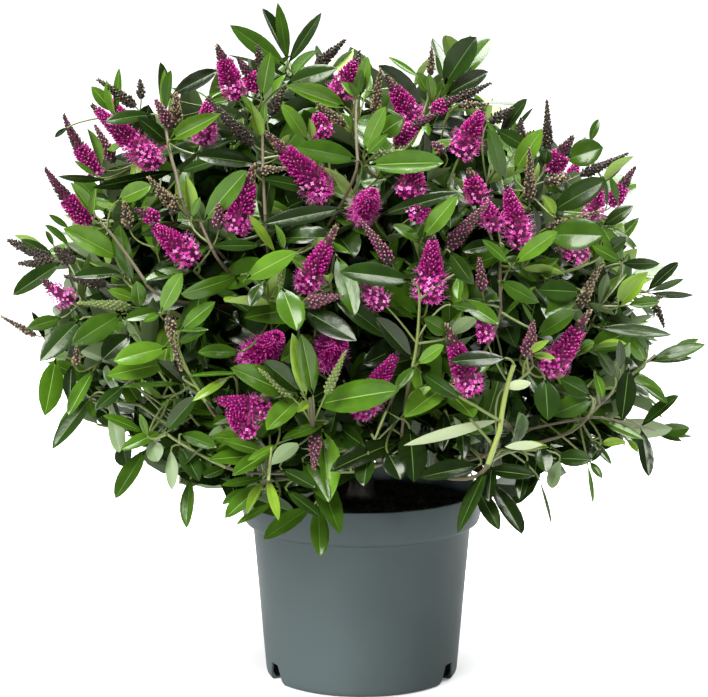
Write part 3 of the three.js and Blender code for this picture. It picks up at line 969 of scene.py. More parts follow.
def modelStamens(form):
    # two thin threads that stand out of the flower along +X, each with its anther
    parts = []
    for side in (-1, 1):
        deselectAll()
        bpy.ops.mesh.primitive_cone_add(vertices=3, radius1=form["radius"], radius2=form["radius"] * 0.6,
                                        depth=form["length"])
        thread = bpy.context.object
        slotNames(thread, ("thread", "anther"))
        deselectAll()
        anther = modelDiamond()
        anther.scale = (2 * form["anther"],) * 3
        anther.location.z = form["length"] / 2
        slotNames(anther, ("thread", "anther"))
        anther.data.polygons.foreach_set("material_index", [1] * len(anther.data.polygons))
        for part in (thread, anther):
            choose(part)
            bpy.ops.object.transform_apply(location=True, scale=True)
            editAll()
            moveSelected(0, 0, form["length"] / 2)
            turnSelected(-90 + side * form["spread"], "Y")
            objectMode()
            parts.append(part)
    return joinTemplate(parts)


def modelBud(form):
    # a plump closed bud along +X: calyx, body and pointed tip
    deselectAll()
    bpy.ops.mesh.primitive_uv_sphere_add(segments=4, ring_count=4, radius=0.5)
    bud = bpy.context.object
    slotNames(bud, ("tip", "body", "calyx"))
    editAll()
    moveSelected(0, 0, 0.5)
    scaleSelected(form["width"], form["width"], 1)
    pick(bud, lambda p: 0.4 < p.z < 0.95)
    moveSelected(0, 0, form["shoulder"])
    for slot, low, high in ((1, 0.3, 0.75), (2, 0, 0.3)):
        pick(bud, lambda p: low < p.z < high, "faces")
        giveSlot(bud, slot)
    objectMode()
    layAlong([bud])
    return joinTemplate([bud])


floretForms = {
    "open": {"neck": 0.06, "throat": 0.11, "tube": 0.45, "thickness": 0.09, "width": 0.26, "cup": 0.06,
             "lengths": (0.50, 0.46, 0.42, 0.48), "tilts": (-62, -74, -80, -68)},
    "funnel": {"neck": 0.06, "throat": 0.12, "tube": 0.50, "thickness": 0.10, "width": 0.22, "cup": 0.05,
               "lengths": (0.50, 0.46, 0.44, 0.48), "tilts": (-20, -30, -36, -26)},
}
stamenForm = {"radius": 0.02, "length": 1.0, "anther": 0.06, "spread": 16}
budForm = {"width": 0.44, "shoulder": 0.06}

leafTemplates = {name: modelLeaf(form) for name, form in leafForms.items()}
flowerTemplates = {
    "florets": modelFloret(floretForms["open"]), "funnels": modelFloret(floretForms["funnel"]),
    "stamens": modelStamens(stamenForm), "buds": modelBud(budForm)}
print("templates made:", len(leafTemplates), "leaves and", len(flowerTemplates), "flower parts")


# ---- leaf, twig and flower materials ----

leafFinish = {"roughness": 0.19, "specular": 0.28, "tint": (0.96, 1.0, 0.87, 1), "second": 0.62}
ribFinish = {"roughness": 0.45, "specular": 0.3}
flowerFinish = {"roughness": 0.55, "specular": 0.25}

# bladeDeep and bladeDark are dark old leaves' own colours and also painted shade for leaves inside the crown
leafColors = {
    "bladeDeep": (0.006, 0.015, 0.0015), "bladeDark": (0.013, 0.034, 0.003),
    "bladeMid": (0.028, 0.070, 0.004), "bladeFresh": (0.046, 0.112, 0.006),
    "bladeBright": (0.076, 0.168, 0.011), "bladeYoung": (0.165, 0.280, 0.022)}

ribColors = {
    "leafRib": (0.050, 0.105, 0.013), "leafUnderside": (0.115, 0.165, 0.070),
    "youngUnderside": (0.22, 0.33, 0.075), "paleUnderside": (0.30, 0.36, 0.20),
    "brightRib": (0.15, 0.25, 0.045)}

twigFinishes = {  # colour and roughness
    "twigWoody": ((0.060, 0.046, 0.020), 0.7), "twigGreen": ((0.095, 0.125, 0.025), 0.5),
    "twigLime": ((0.19, 0.24, 0.05), 0.45)}

# the core's dark magenta is painted shade, the dark deep between a spike's open flowers
flowerColors = {
    "petalDeep": (0.145, 0.001, 0.065), "petalMid": (0.29, 0.003, 0.14), "petalLight": (0.52, 0.035, 0.31),
    "petalPale": (0.70, 0.22, 0.52), "throat": (0.42, 0.01, 0.20), "thread": (0.72, 0.20, 0.50),
    "anther": (0.16, 0.03, 0.10), "budDark": (0.024, 0.019, 0.012), "budPurple": (0.050, 0.018, 0.024),
    "budWine": (0.16, 0.035, 0.075), "budPink": (0.42, 0.14, 0.26), "calyx": (0.22, 0.165, 0.085),
    "calyxGreen": (0.17, 0.19, 0.075), "leafGreen": (0.07, 0.13, 0.02), "core": (0.08, 0.001, 0.035)}


def makePlainMaterials(colors, finish):
    return [newMaterial(name, color, finish["roughness"], finish["specular"])[0]
            for name, color in colors.items()]


def makeLeafMaterials():
    # the blades, then the ribs and undersides
    materials = []
    for name, color in leafColors.items():
        material, shader = newMaterial(name, color, leafFinish["roughness"], leafFinish["specular"])
        shader.inputs["Specular Tint"].default_value = leafFinish["tint"]
        addMottle(material, shader, tuple(leafFinish["second"] * value for value in color), 38, 0.25, 0.06)
        addRelief(material, shader, 0.26, 0.0022, coarse=60, fine=300, share=0.08)
        materials.append(material)
    return materials + makePlainMaterials(ribColors, ribFinish)


def makeTwigMaterials():
    materials = []
    for name, (color, roughness) in twigFinishes.items():
        material, shader = newMaterial(name, color, roughness)
        addRelief(material, shader, 0.4, 0.0006, coarse=500, fine=1500, share=0.4)
        materials.append(material)
    return materials


leafMaterials = makeLeafMaterials()
twigMaterials = makeTwigMaterials()
flowerMaterials = makePlainMaterials(flowerColors, flowerFinish)
flowerSlot = {name: i for i, name in enumerate(flowerColors)}
ribSlot, underSlot, youngUnderSlot, paleUnderSlot, brightRibSlot = (
    len(leafColors) + i for i in range(len(ribColors)))


# ---- growing: leaf pairs, twigs and spikes ----

growth = {
    "youngReach": 0.034,  # how far the erect leaves at a tip stand past it
    "pairPlaces": (0.003, 0.013, 0.030, 0.052, 0.077, 0.105, 0.135, 0.168),  # back from the tip
    "pairAngles": (17, 42, 60, 72, 80, 87, 93, 97),
    "pairSizes": (0.036, 0.056, 0.070, 0.077, 0.078, 0.074, 0.068, 0.062),
    "sizeSpread": 0.16, "widthShare": 0.375, "angleSpread": 9, "turnSpread": 14,
    "sideTwigs": 2, "sideTurn": 8.5, "sideStart": 0.056, "sideStep": 0.02, "sidePairs": 3,
    # leafy twigs that fill the inside
    "innerTwigs": 3, "innerTurn": 13, "innerStart": 0.10, "innerReach": 0.74,
    "innerStep": 0.015, "innerPlaces": (0.004, 0.020, 0.040, 0.062),
    "pathShare": 0.96, "placeSpread": 0.003, "droop": 0.02, "droopGain": 0.03, "youngWidth": 0.8,
    "faceLift": 0.5, "faceSpread": 0.12, "edgeOn": 0.97, "edgeTurn": 0.4,
    "firstSeed": 1000, "spiralTurn": 137.5, "turnUnevenness": 25, "sideLoss": 0.03, "sideSpread": 0.07,
    "shootRadius": (0.0019, 0.0012), "sideRadius": (0.0012, 0.0009), "stemRadius": (0.0034, 0.0026),
}

eye = np.array([-0.0074, -2.5, 0.737])  # where the camera stands
# the camera's view is 708 units wide and 697 high: its middle, the lens in those units and in millimetres,
# and how far the camera looks down
lens = {"middle": (354, 348.5), "length": 2664, "focal": 135.46, "sensor": 36, "tilt": math.radians(9.54)}

# each flower spike of the front: where its foot and tip lie in the view, its widest radius in millimetres,
# how far it is out, and how many millimetres inside the crown's outline it stands
spikePlaces = (
    (158, 167, 93, 106, 15, "full", 19.5), (196, 261, 153, 225, 15, "full", 19.5),
    (238, 100, 217, 47, 14, "tip", 18), (234, 233, 254, 166, 14.5, "tip", 19),
    (328, 197, 268, 135, 16, "tip", 21), (303, 292, 337, 225, 13.5, "tip", 20),
    (360, 216, 372, 193, 14, "round", 33), (408, 198, 416, 168, 15, "full", 20),
    (459, 157, 482, 110, 15, "full", 19.5), (428, 303, 433, 238, 16, "full", 21),
    (240, 352, 268, 326, 18, "round", 30), (318, 350, 336, 334, 17, "round", 30),
    (269, 410, 214, 400, 12, "full", 16), (253, 435, 228, 410, 11, "full", 16),
    (358, 417, 398, 353, 14, "full", 46), (473, 394, 447, 326, 14, "tip", 18),
    (546, 374, 590, 311, 14, "tip", 18.2), (521, 245, 507, 187, 14, "full", 18),
    (314, 433, 313, 468, 8, "pink", 16), (72, 303, 42, 280, 12, "faded", 16),
    (550, 173, 572, 137, 11, "half", 16), (590, 219, 600, 190, 12, "full", 16),
    (90, 224, 45, 169, 10.5, "half", 16), (338, 97, 356, 60, 14, "full", 18),
    (99, 174, 64, 115, 10, "half", 16), (113, 163, 95, 126, 8, "pink", 16),
    (135, 106, 98, 80, 6, "bud", 16), (141, 99, 140, 80, 5, "bud", 16), (260, 92, 238, 58, 9, "half", 16),
    (175, 128, 176, 94, 9, "tan", 17), (173, 128, 157, 101, 9, "pink", 13),
    (203, 145, 208, 100, 13, "full", 17), (253, 144, 209, 98, 6.5, "bud", 16),
    (269, 114, 283, 90, 7, "bud", 16), (261, 68, 258, 46, 5, "bud", 16), (316, 66, 344, 40, 6, "bud", 16),
    (345, 126, 316, 103, 6.5, "tan", 16), (325, 137, 316, 114, 11, "full", 16),
    (257, 171, 286, 168, 6, "tan", 16), (219, 229, 219, 205, 8, "pink", 16),
    (178, 211, 149, 178, 8, "tan", 16), (129, 229, 124, 203, 8, "tan", 16),
    (159, 220, 135, 209, 8, "half", 16), (24, 248, 9, 240, 5, "bud", 16), (357, 76, 359, 52, 5, "bud", 16),
    (375, 117, 381, 70, 7, "tan", 16), (417, 123, 388, 77, 13, "tip", 16.9),
    (395, 143, 438, 114, 8.5, "half", 16), (445, 152, 433, 143, 7, "pink", 16),
    (430, 75, 432, 47, 5.5, "tan", 16), (456, 100, 490, 84, 5, "bud", 16),
    (458, 105, 489, 104, 5.5, "tan", 16), (431, 112, 458, 97, 8, "half", 16),
    (489, 121, 512, 108, 6, "bud", 16), (519, 140, 521, 120, 5, "bud", 16),
    (547, 151, 547, 102, 5.5, "bud", 16), (544, 182, 568, 178, 8, "tan", 16),
    (580, 175, 627, 154, 5.5, "bud", 16), (611, 206, 635, 168, 9, "half", 16),
    (546, 229, 600, 210, 6, "tan", 16), (530, 202, 529, 149, 7.5, "tan", 16),
    (478, 203, 470, 171, 13, "tip", 17), (497, 230, 485, 200, 12, "full", 16),
    (447, 250, 489, 202, 9, "pink", 16), (411, 218, 429, 208, 9, "full", 16),
    (392, 264, 361, 220, 7.5, "pink", 16), (385, 306, 360, 283, 10, "faded", 16),
    (372, 158, 401, 150, 5.5, "green", 16), (54, 260, 9, 241, 6, "bud", 16),
    (59, 264, 20, 263, 6.5, "bud", 16), (75, 262, 56, 250, 8, "bud", 16),
    (106, 284, 66, 276, 6.5, "bud", 16), (36, 336, 1, 316, 5.5, "tan", 16),
    (131, 307, 79, 303, 6.5, "green", 16), (168, 315, 181, 371, 7, "tan", 16),
    (76, 367, 76, 347, 5.5, "tan", 16), (306, 303, 344, 296, 7.5, "pink", 16),
    (280, 288, 281, 268, 4, "green", 16), (326, 393, 345, 351, 6, "green", 16),
    (292, 397, 259, 369, 6, "green", 16), (588, 257, 556, 250, 10, "faded", 16),
    (483, 291, 479, 259, 7, "pink", 16), (580, 309, 603, 264, 7.5, "tan", 16),
    (526, 359, 533, 323, 9, "pink", 16), (487, 343, 480, 311, 8.5, "faded", 16),
    (653, 303, 664, 327, 4.5, "bud", 16), (172, 215, 176, 196, 6, "tan", 16),
    (640, 300, 664, 296, 4, "bud", 16),
)

# each leaf of the front: where its foot and tip lie in the view, the width seen, the tint and the
# millimetres inside the crown's outline; the tint follows how bright the leaf looks, so it is partly its own
# colour and partly painted light and shade; from tint 10 its underside shows, at 15 pale and narrow, and
# from 20 it is rolled the other way
leafPlaces = (
    (163, 108, 160, 62, 12, 1, 14), (163, 112, 165, 69, 8, 4, 12), (172, 95, 217, 71, 16, 0, 16),
    (116, 112, 119, 68, 9, 3, 20), (113, 112, 91, 86, 14, 3, 12), (152, 114, 104, 122, 14, 1, 2),
    (170, 140, 222, 114, 18, 4, 4), (258, 164, 196, 156, 18, 0, 16), (178, 172, 224, 158, 12, 1, 20),
    (203, 222, 247, 170, 22, 3, 8), (192, 215, 186, 175, 13, 5, 8), (192, 217, 200, 197, 8, 3, 8),
    (176, 171, 92, 188, 14, 20, 8), (105, 180, 58, 176, 8, 21, 12), (118, 200, 152, 186, 18, 4, 8),
    (95, 215, 70, 182, 12, 4, 10), (93, 218, 96, 188, 8, 4, 8), (183, 222, 140, 235, 12, 21, 6),
    (120, 258, 63, 228, 24, 4, 8), (54, 257, 20, 239, 12, 1, 12), (62, 262, 13, 295, 18, 1, 8),
    (70, 246, 45, 225, 8, 2, 14), (168, 142, 138, 117, 16, 0, 18), (101, 167, 87, 128, 10, 4, 2),
    (97, 177, 74, 161, 6, 3, 8), (68, 127, 55, 137, 5, 0, 14), (287, 60, 262, 8, 13, 0, 10),
    (287, 62, 278, 3, 13, 2, 6), (286, 66, 230, 25, 20, 2, 10), (288, 64, 322, 12, 13, 1, 10),
    (262, 98, 271, 52, 18, 3, 6), (286, 84, 338, 68, 20, 1, 12), (345, 107, 285, 86, 20, 4, 4),
    (357, 97, 341, 82, 8, 4, 6), (358, 97, 349, 82, 7, 2, 4), (360, 97, 368, 57, 14, 4, 6),
    (356, 98, 362, 70, 10, 2, 10), (308, 142, 281, 104, 16, 4, 4), (311, 138, 309, 118, 8, 5, 2),
    (358, 160, 294, 147, 24, 2, 2), (367, 165, 444, 163, 24, 3, 2), (364, 152, 386, 107, 16, 4, 4),
    (380, 135, 404, 118, 22, 3, 6), (366, 155, 388, 133, 9, 3, 2), (262, 140, 250, 103, 12, 5, 6),
    (264, 126, 265, 104, 8, 4, 8), (256, 116, 240, 94, 8, 4, 10), (345, 208, 260, 225, 18, 0, 14),
    (379, 216, 460, 193, 14, 0, 10), (423, 238, 458, 196, 20, 4, 2), (421, 241, 392, 225, 12, 3, 6),
    (320, 190, 262, 178, 14, 1, 24), (423, 107, 378, 65, 20, 0, 14), (444, 85, 476, 37, 26, 1, 8),
    (446, 96, 488, 72, 18, 0, 12), (432, 104, 428, 73, 10, 4, 6), (442, 80, 436, 55, 6, 2, 8),
    (262, 245, 212, 246, 12, 1, 8), (276, 252, 249, 214, 9, 5, 4), (284, 250, 275, 224, 8, 4, 6),
    (420, 78, 388, 57, 7, 3, 16), (428, 92, 417, 72, 12, 3, 10), (504, 182, 488, 128, 16, 2, 6),
    (529, 148, 496, 130, 16, 1, 10), (514, 172, 543, 128, 20, 4, 6), (500, 137, 527, 99, 12, 1, 12),
    (514, 131, 533, 108, 5, 1, 12), (566, 160, 603, 148, 26, 2, 8), (590, 142, 599, 119, 8, 2, 12),
    (552, 212, 606, 180, 24, 1, 6), (554, 216, 541, 195, 11, 5, 2), (603, 226, 634, 205, 14, 1, 8),
    (546, 236, 606, 236, 31, 2, 2), (514, 263, 558, 232, 18, 4, 2), (509, 263, 482, 240, 11, 3, 2),
    (500, 243, 462, 252, 14, 0, 12), (622, 263, 660, 264, 12, 21, 8), (620, 262, 592, 246, 12, 3, 10),
    (607, 226, 637, 247, 8, 2, 12), (500, 142, 486, 121, 5, 3, 8), (478, 103, 521, 105, 6, 0, 16),
    (545, 165, 548, 148, 12, 1, 14), (537, 240, 533, 205, 12, 0, 20), (622, 262, 602, 228, 18, 3, 8),
    (122, 273, 73, 277, 13, 1, 6), (136, 300, 107, 290, 12, 4, 12), (140, 308, 136, 280, 16, 3, 10),
    (122, 313, 72, 345, 25, 2, 4), (80, 320, 40, 362, 24, 1, 8), (161, 312, 183, 273, 18, 4, 2),
    (242, 275, 180, 294, 16, 23, 4), (160, 311, 125, 320, 13, 2, 6), (160, 314, 143, 322, 7, 3, 2),
    (180, 330, 216, 302, 16, 3, 8), (178, 331, 209, 330, 5, 3, 8), (178, 345, 208, 330, 10, 2, 10),
    (168, 347, 113, 361, 24, 4, 4), (170, 362, 107, 376, 22, 4, 8), (56, 358, 45, 416, 25, 23, 4),
    (93, 395, 52, 450, 17, 1, 6), (93, 370, 68, 416, 15, 3, 2), (125, 385, 95, 410, 14, 1, 10),
    (110, 410, 119, 452, 17, 11, 8), (144, 433, 102, 415, 12, 3, 4), (148, 436, 139, 414, 8, 4, 2),
    (163, 432, 120, 450, 14, 3, 4), (150, 440, 158, 461, 18, 11, 8), (146, 449, 115, 499, 18, 2, 6),
    (171, 450, 172, 490, 13, 11, 10), (180, 445, 200, 482, 20, 1, 6), (165, 432, 196, 397, 17, 1, 6),
    (181, 434, 216, 448, 15, 2, 6), (230, 376, 192, 401, 9, 5, 2), (183, 376, 240, 374, 5, 3, 6),
    (187, 384, 120, 387, 6, 2, 6), (240, 352, 197, 352, 15, 2, 10), (184, 384, 157, 360, 13, 0, 14),
    (190, 478, 187, 528, 15, 2, 4), (62, 318, 26, 328, 14, 2, 12), (45, 340, 32, 312, 8, 0, 10),
    (72, 365, 70, 400, 14, 0, 14), (130, 335, 102, 360, 22, 0, 16), (90, 400, 93, 418, 10, 3, 12),
    (246, 279, 297, 252, 23, 4, 2), (282, 287, 297, 331, 26, 3, 2), (262, 283, 250, 307, 14, 1, 8),
    (337, 256, 355, 316, 22, 2, 14), (413, 281, 339, 272, 24, 1, 2), (301, 308, 357, 341, 24, 0, 4),
    (301, 400, 230, 368, 26, 3, 6), (301, 393, 262, 361, 20, 1, 4), (306, 398, 292, 333, 17, 5, 2),
    (313, 396, 301, 334, 20, 3, 2), (315, 405, 400, 391, 31, 3, 0), (300, 398, 266, 430, 22, 4, 2),
    (311, 403, 297, 413, 9, 5, 0), (325, 424, 282, 440, 12, 2, 8), (277, 444, 247, 461, 8, 4, 2),
    (272, 451, 232, 476, 16, 3, 4), (271, 466, 297, 443, 17, 12, 4), (323, 432, 329, 503, 22, 4, 4),
    (411, 358, 375, 317, 19, 0, 6), (448, 334, 424, 318, 18, 2, 8), (450, 336, 474, 318, 15, 11, 10),
    (417, 364, 444, 345, 13, 4, 2), (415, 366, 395, 391, 12, 2, 4), (421, 372, 459, 398, 16, 21, 8),
    (506, 358, 449, 362, 17, 0, 2), (501, 420, 403, 446, 12, 15, -10), (410, 428, 414, 483, 29, 0, -10),
    (479, 465, 420, 478, 20, 0, 8), (388, 453, 401, 480, 22, 0, 6), (402, 440, 330, 472, 23, 0, -10),
    (444, 411, 443, 451, 15, 0, 36), (461, 419, 463, 459, 14, 0, 35), (450, 252, 474, 285, 18, 21, 8),
    (460, 275, 458, 300, 12, 3, 8), (450, 305, 478, 310, 10, 2, 8), (500, 281, 539, 303, 18, 22, 4),
    (463, 301, 498, 324, 17, 3, 4), (581, 292, 538, 290, 22, 1, 12), (577, 300, 545, 315, 16, 2, 14),
    (537, 337, 576, 312, 18, 2, 12), (618, 306, 648, 272, 20, 5, 4), (648, 291, 679, 262, 12, 0, 8),
    (651, 291, 684, 279, 8, 22, 8), (650, 293, 694, 295, 8, 21, 6), (599, 328, 672, 335, 13, 1, 6),
    (650, 361, 706, 344, 15, 2, 4), (650, 362, 694, 358, 7, 2, 8), (580, 350, 594, 342, 12, 3, 6),
    (629, 367, 622, 421, 20, 20, 4), (641, 384, 667, 404, 8, 2, 6), (641, 426, 679, 396, 12, 1, 6),
    (654, 430, 690, 428, 16, 22, 6), (655, 432, 693, 436, 5, 22, 8), (641, 429, 649, 477, 14, 0, 4),
    (600, 420, 644, 440, 10, 3, 4), (545, 379, 548, 421, 27, 1, 6), (593, 399, 552, 416, 22, 2, 10),
    (591, 396, 560, 379, 20, 1, 8), (505, 388, 531, 383, 10, 15, 4), (543, 445, 505, 447, 9, 15, 4),
    (535, 325, 521, 303, 5, 2, 4), (530, 353, 550, 340, 8, 5, 2), (532, 355, 556, 359, 7, 5, 2),
    (596, 373, 603, 397, 10, 3, 8), (615, 378, 597, 350, 12, 1, 6), (620, 370, 619, 340, 10, 1, 6),
    (646, 362, 632, 335, 18, 3, 8), (556, 459, 593, 460, 17, 1, 6), (592, 440, 611, 465, 8, 1, 8),
    (590, 462, 602, 478, 8, 3, 8), (540, 447, 546, 472, 17, 1, 8), (561, 460, 551, 488, 14, 13, 10),
    (601, 444, 627, 442, 9, 5, 8), (628, 305, 660, 302, 12, 3, 10), (600, 445, 590, 462, 14, 0, 12),
    (487, 466, 458, 534, 15, 1, 0), (477, 488, 500, 530, 18, 1, 4), (488, 480, 522, 535, 16, 0, 4),
    (527, 460, 520, 501, 14, 0, 6), (487, 470, 535, 476, 15, 0, 8), (540, 480, 551, 525, 4, 2, 8),
    (588, 465, 593, 505, 4, 3, 10), (263, 478, 221, 486, 10, 2, 4), (264, 484, 225, 519, 17, 3, 4),
    (263, 483, 247, 515, 10, 5, 2), (268, 478, 279, 521, 11, 5, 0), (256, 441, 211, 437, 14, 3, 6),
    (265, 452, 222, 441, 14, 3, 6), (265, 456, 208, 460, 16, 3, 4), (226, 468, 203, 477, 12, 1, 8),
    (311, 508, 264, 540, 18, 2, 2), (286, 490, 321, 518, 13, 1, 6), (303, 461, 328, 503, 18, 2, 4),
    (318, 505, 319, 557, 18, 2, 0), (275, 502, 235, 525, 8, 4, 6), (247, 488, 222, 505, 9, 2, 8),
    (281, 470, 315, 487, 13, 1, 6), (313, 462, 340, 535, 24, 2, -10), (369, 454, 364, 486, 20, 1, 10),
    (492, 466, 489, 502, 16, 0, 14), (430, 468, 428, 450, 12, 0, 44), (468, 476, 465, 460, 12, 0, 43),
    (488, 454, 487, 439, 10, 0, 34), (628, 440, 638, 453, 7, 5, 8), (655, 433, 683, 441, 6, 2, 8),
    (69, 228, 48, 214, 7, 2, 8), (54, 246, 46, 231, 6, 2, 8), (607, 207, 602, 175, 7, 1, 2),
    (618, 203, 610, 177, 8, 2, 2), (646, 350, 630, 332, 13, 2, 6), (612, 229, 635, 249, 8, 2, 6),
    (603, 256, 627, 238, 13, 1, 6), (166, 112, 171, 70, 10, 2, 12),
)

# leaves that hang inside, over the back half of the pot: foot, tip and width in millimetres, and the tint,
# deep as painted shade
innerLeaves = (
    (15, 40, 240, 38, 66, 194, 24, 0), (52, 30, 242, 78, 58, 198, 24, 0),
    (84, 24, 244, 112, 46, 204, 24, 1), (70, 62, 236, 64, 98, 192, 24, 0),
    (104, 56, 234, 108, 92, 196, 24, 0), (-12, 56, 236, -16, 92, 192, 24, 0),
    (36, 80, 234, 30, 116, 190, 24, 1), (84, 84, 232, 78, 122, 192, 22, 0),
    (128, 30, 240, 142, 66, 206, 22, 0), (58, 108, 230, 54, 142, 194, 22, 0),
    (8, 104, 232, 4, 140, 192, 22, 0), (112, 96, 230, 110, 132, 198, 22, 1),
    (14, 128, 216, 26, 142, 170, 24, 0), (62, 116, 218, 82, 134, 168, 26, 0),
    (96, 98, 222, 98, 122, 170, 24, 0), (110, 82, 224, 134, 98, 178, 25, 0),
    (50, 132, 216, 40, 150, 174, 23, 0), (116, 58, 226, 144, 66, 184, 24, 0),
)

# stems of the front, from the tip down: the places in the view, each with the millimetres inside the
# crown's outline, then the radius in millimetres and the twig material
stemPlaces = (
    (((164, 110, 20), (168, 150, 20), (176, 172, 20), (181, 200, 20)), 1.7, 0),
    (((100, 222, 18), (115, 236, 18), (150, 288, 18)), 1.6, 0),
    (((262, 135, 20), (263, 165, 20), (265, 215, 20)), 1.6, 0),
    (((357, 100, 14), (355, 125, 14), (358, 162, 14)), 1.5, 0),
    (((200, 222, 18), (212, 250, 18)), 1.6, 0),
    (((310, 398, 12), (312, 420, 18), (313, 434, 37)), 2.2, 0),
    (((514, 365, 16), (504, 392, 16), (500, 430, 16), (488, 464, 16)), 2.4, 2),
    (((459, 396, 16), (485, 412, 16), (499, 420, 16)), 1.5, 1),
    (((470, 418, 18), (490, 442, 18)), 1.4, 1),
    (((420, 300, 22), (419, 345, 22), (413, 366, 22)), 1.6, 1),
    (((165, 432, 16), (183, 446, 16), (226, 468, 16)), 1.5, 1),
    (((655, 355, 16), (602, 400, 16), (580, 426, 16)), 1.5, 0),
    (((655, 431, 14), (645, 427, 14), (600, 417, 14)), 1.1, 0),
    (((500, 258, 28), (501, 312, 28)), 1.6, 0),
    (((375, 440, 20), (387, 410, 20)), 1.2, 1),
    (((189, 374, 16), (206, 402, 16)), 1.5, 1),
    (((272, 447, 13), (269, 480, 15)), 1.3, 2),
    (((504, 392, 18), (530, 372, 18)), 1.2, 1),
)

forward = np.array([0, math.cos(lens["tilt"]), -math.sin(lens["tilt"])])
sights = np.arange(1.9, 3.0, 0.001)[:, None]  # distances from the camera at which a line of sight is tried
frontLimit = cadLow[1] + 0.0025
leaning = {"leaf": 0.6, "spike": 0.35, "roundSpike": 3.2}  # how far out from the crown each one leans
leafInset = 4  # millimetres that a leaf's middle lies further in than listed


def lineThrough(across, down):
    # the direction in which a place in the view is seen, one long straight ahead
    side = (across - lens["middle"][0]) / lens["length"]
    up = (lens["middle"][1] - down) / lens["length"]
    return np.array([side, forward[1] - up * forward[2], forward[2] + up * forward[1]])


def placeInCrown(across, down, inside):
    # where a line of sight comes that far inside the crown's outline, or else closest to it
    points = eye + sights * normalized(lineThrough(across, down))
    radius = np.linalg.norm(points - fork, axis=1)
    share = radius / (reachAt((points - fork) / radius[:, None]) - inside * 0.001)
    reached = np.nonzero(share <= 1)[0]
    return points[reached[0] if len(reached) else share.argmin()]


def endsInCrown(foot, tip, inside, lean, limit=-1.0):
    # the foot and tip of something that leans out from the crown, in millimetres, and how far it is
    # from the camera; neither end comes nearer to it than the limit
    middle = placeInCrown((foot[0] + tip[0]) / 2, (foot[1] + tip[1]) / 2, inside)
    ahead = float((middle - eye) @ forward)
    lines = lineThrough(*foot), lineThrough(*tip)
    outward, span = float(normalized(middle - fork) @ forward), float(np.linalg.norm(lines[1] - lines[0]))
    half = lean * outward * ahead * span / 2
    for _ in range(3):
        ends = eye + lines[0] * (ahead - half), eye + lines[1] * (ahead + half)
        over = limit - min(ends[0][1], ends[1][1])
        if over <= 0:
            break
        ahead += over + 0.0005
    return np.round(np.concatenate(ends) * 1000), ahead


def leafRow(place):
    ends, ahead = endsInCrown(place[0:2], place[2:4], place[6] + leafInset, leaning["leaf"], frontLimit)
    return (*ends, round(place[4] * ahead / lens["length"] * 1000), place[5])


def spikeRow(place):
    lean = leaning["roundSpike" if place[5] == "round" else "spike"]
    ends, _ = endsInCrown(place[0:2], place[2:4], place[6], lean)
    return (*ends, place[4], place[5])


spikeList = [spikeRow(place) for place in spikePlaces]
frontLeaves = [leafRow(place) for place in leafPlaces]
frontStems = [([np.round(placeInCrown(*point) * 1000) for point in points], radius, bark)
              for points, radius, bark in stemPlaces]


def perpendicular(direction, turn):
    # a direction square to the given one, turned about it from the level
    level = np.cross(direction, upward)
    level = normalized(level) if np.linalg.norm(level) > 0.05 else np.array([1.0, 0, 0])
    other = np.cross(level, direction)
    return level * math.cos(turn) + other * math.sin(turn)


def tube(path, radii, slot, sides=5):
    # a closed tube along a path, as arrays; its radii run evenly along it
    heads = np.gradient(path, axis=0)
    heads /= np.linalg.norm(heads, axis=1)[:, None]
    side = perpendicular(heads[0], 0.3)
    turns = np.arange(sides) * 2 * math.pi / sides
    rings = []
    radii = np.interp(np.linspace(0, 1, len(path)), np.linspace(0, 1, len(radii)), radii)
    for point, head, radius in zip(path, heads, radii):
        side = normalized(side - head * float(side @ head))
        other = np.cross(head, side)
        rings.append(point + radius * (np.cos(turns)[:, None] * side + np.sin(turns)[:, None] * other))
    count = len(path)
    index = np.arange(count - 1)[:, None] * sides
    step = np.arange(sides)[None, :]
    after = (step + 1) % sides
    quads = np.stack([index + step, index + after, index + sides + after, index + sides + step], axis=2)
    caps = np.concatenate([np.arange(sides)[::-1], (count - 1) * sides + np.arange(sides)])
    totals = np.concatenate([np.full((count - 1) * sides, 4), [sides, sides]])
    return {"points": np.concatenate(rings), "corners": np.concatenate([quads.reshape(-1), caps]),
            "totals": totals, "slots": np.full(len(totals), slot)}


# the openings at the crown's edge, each by its middle and radius in the units of the view
edgeGaps = np.array((
    # over the top, from the left
    (27, 208, 18), (56, 199, 6), (52, 153, 11), (52, 108, 15), (79, 97, 10), (86, 68, 16),
    (140, 62, 15), (150, 90, 6), (192, 52, 18), (207, 86, 4), (244, 40, 10), (303, 31, 8),
    (327, 25, 13), (381, 45, 12), (410, 45, 12), (415, 63, 4), (503, 59, 15), (498, 74, 11),
    (512, 86, 9), (535, 99, 9), (539, 113, 7), (564, 117, 12), (557, 140, 4), (614, 135, 14),
    (602, 167, 6), (632, 192, 6), (652, 233, 12),
    # down the left side
    (29, 230, 8), (12, 255, 5), (56, 278, 5), (20, 302, 12), (31, 308, 5), (16, 347, 12),
    (24, 383, 12), (31, 424, 14), (59, 404, 7), (98, 424, 8), (90, 434, 13), (92, 465, 18),
    (143, 398, 6), (149, 405, 5), (127, 436, 4), (108, 461, 7), (153, 475, 9), (147, 506, 18),
    (169, 502, 10), (206, 491, 9), (208, 510, 10),
    # down the right side
    (653, 240, 11), (670, 255, 10), (680, 312, 11), (684, 330, 7), (664, 375, 11), (649, 367, 5),
    (690, 379, 16), (633, 416, 6), (688, 408, 6), (623, 455, 7), (627, 469, 11), (668, 461, 12),
    (578, 477, 4), (572, 491, 10), (613, 491, 14), (582, 510, 14), (560, 495, 8), (529, 510, 5),
    (541, 516, 7)))
gapMargin = 5.5  # kept free round an opening, for the width of a leaf


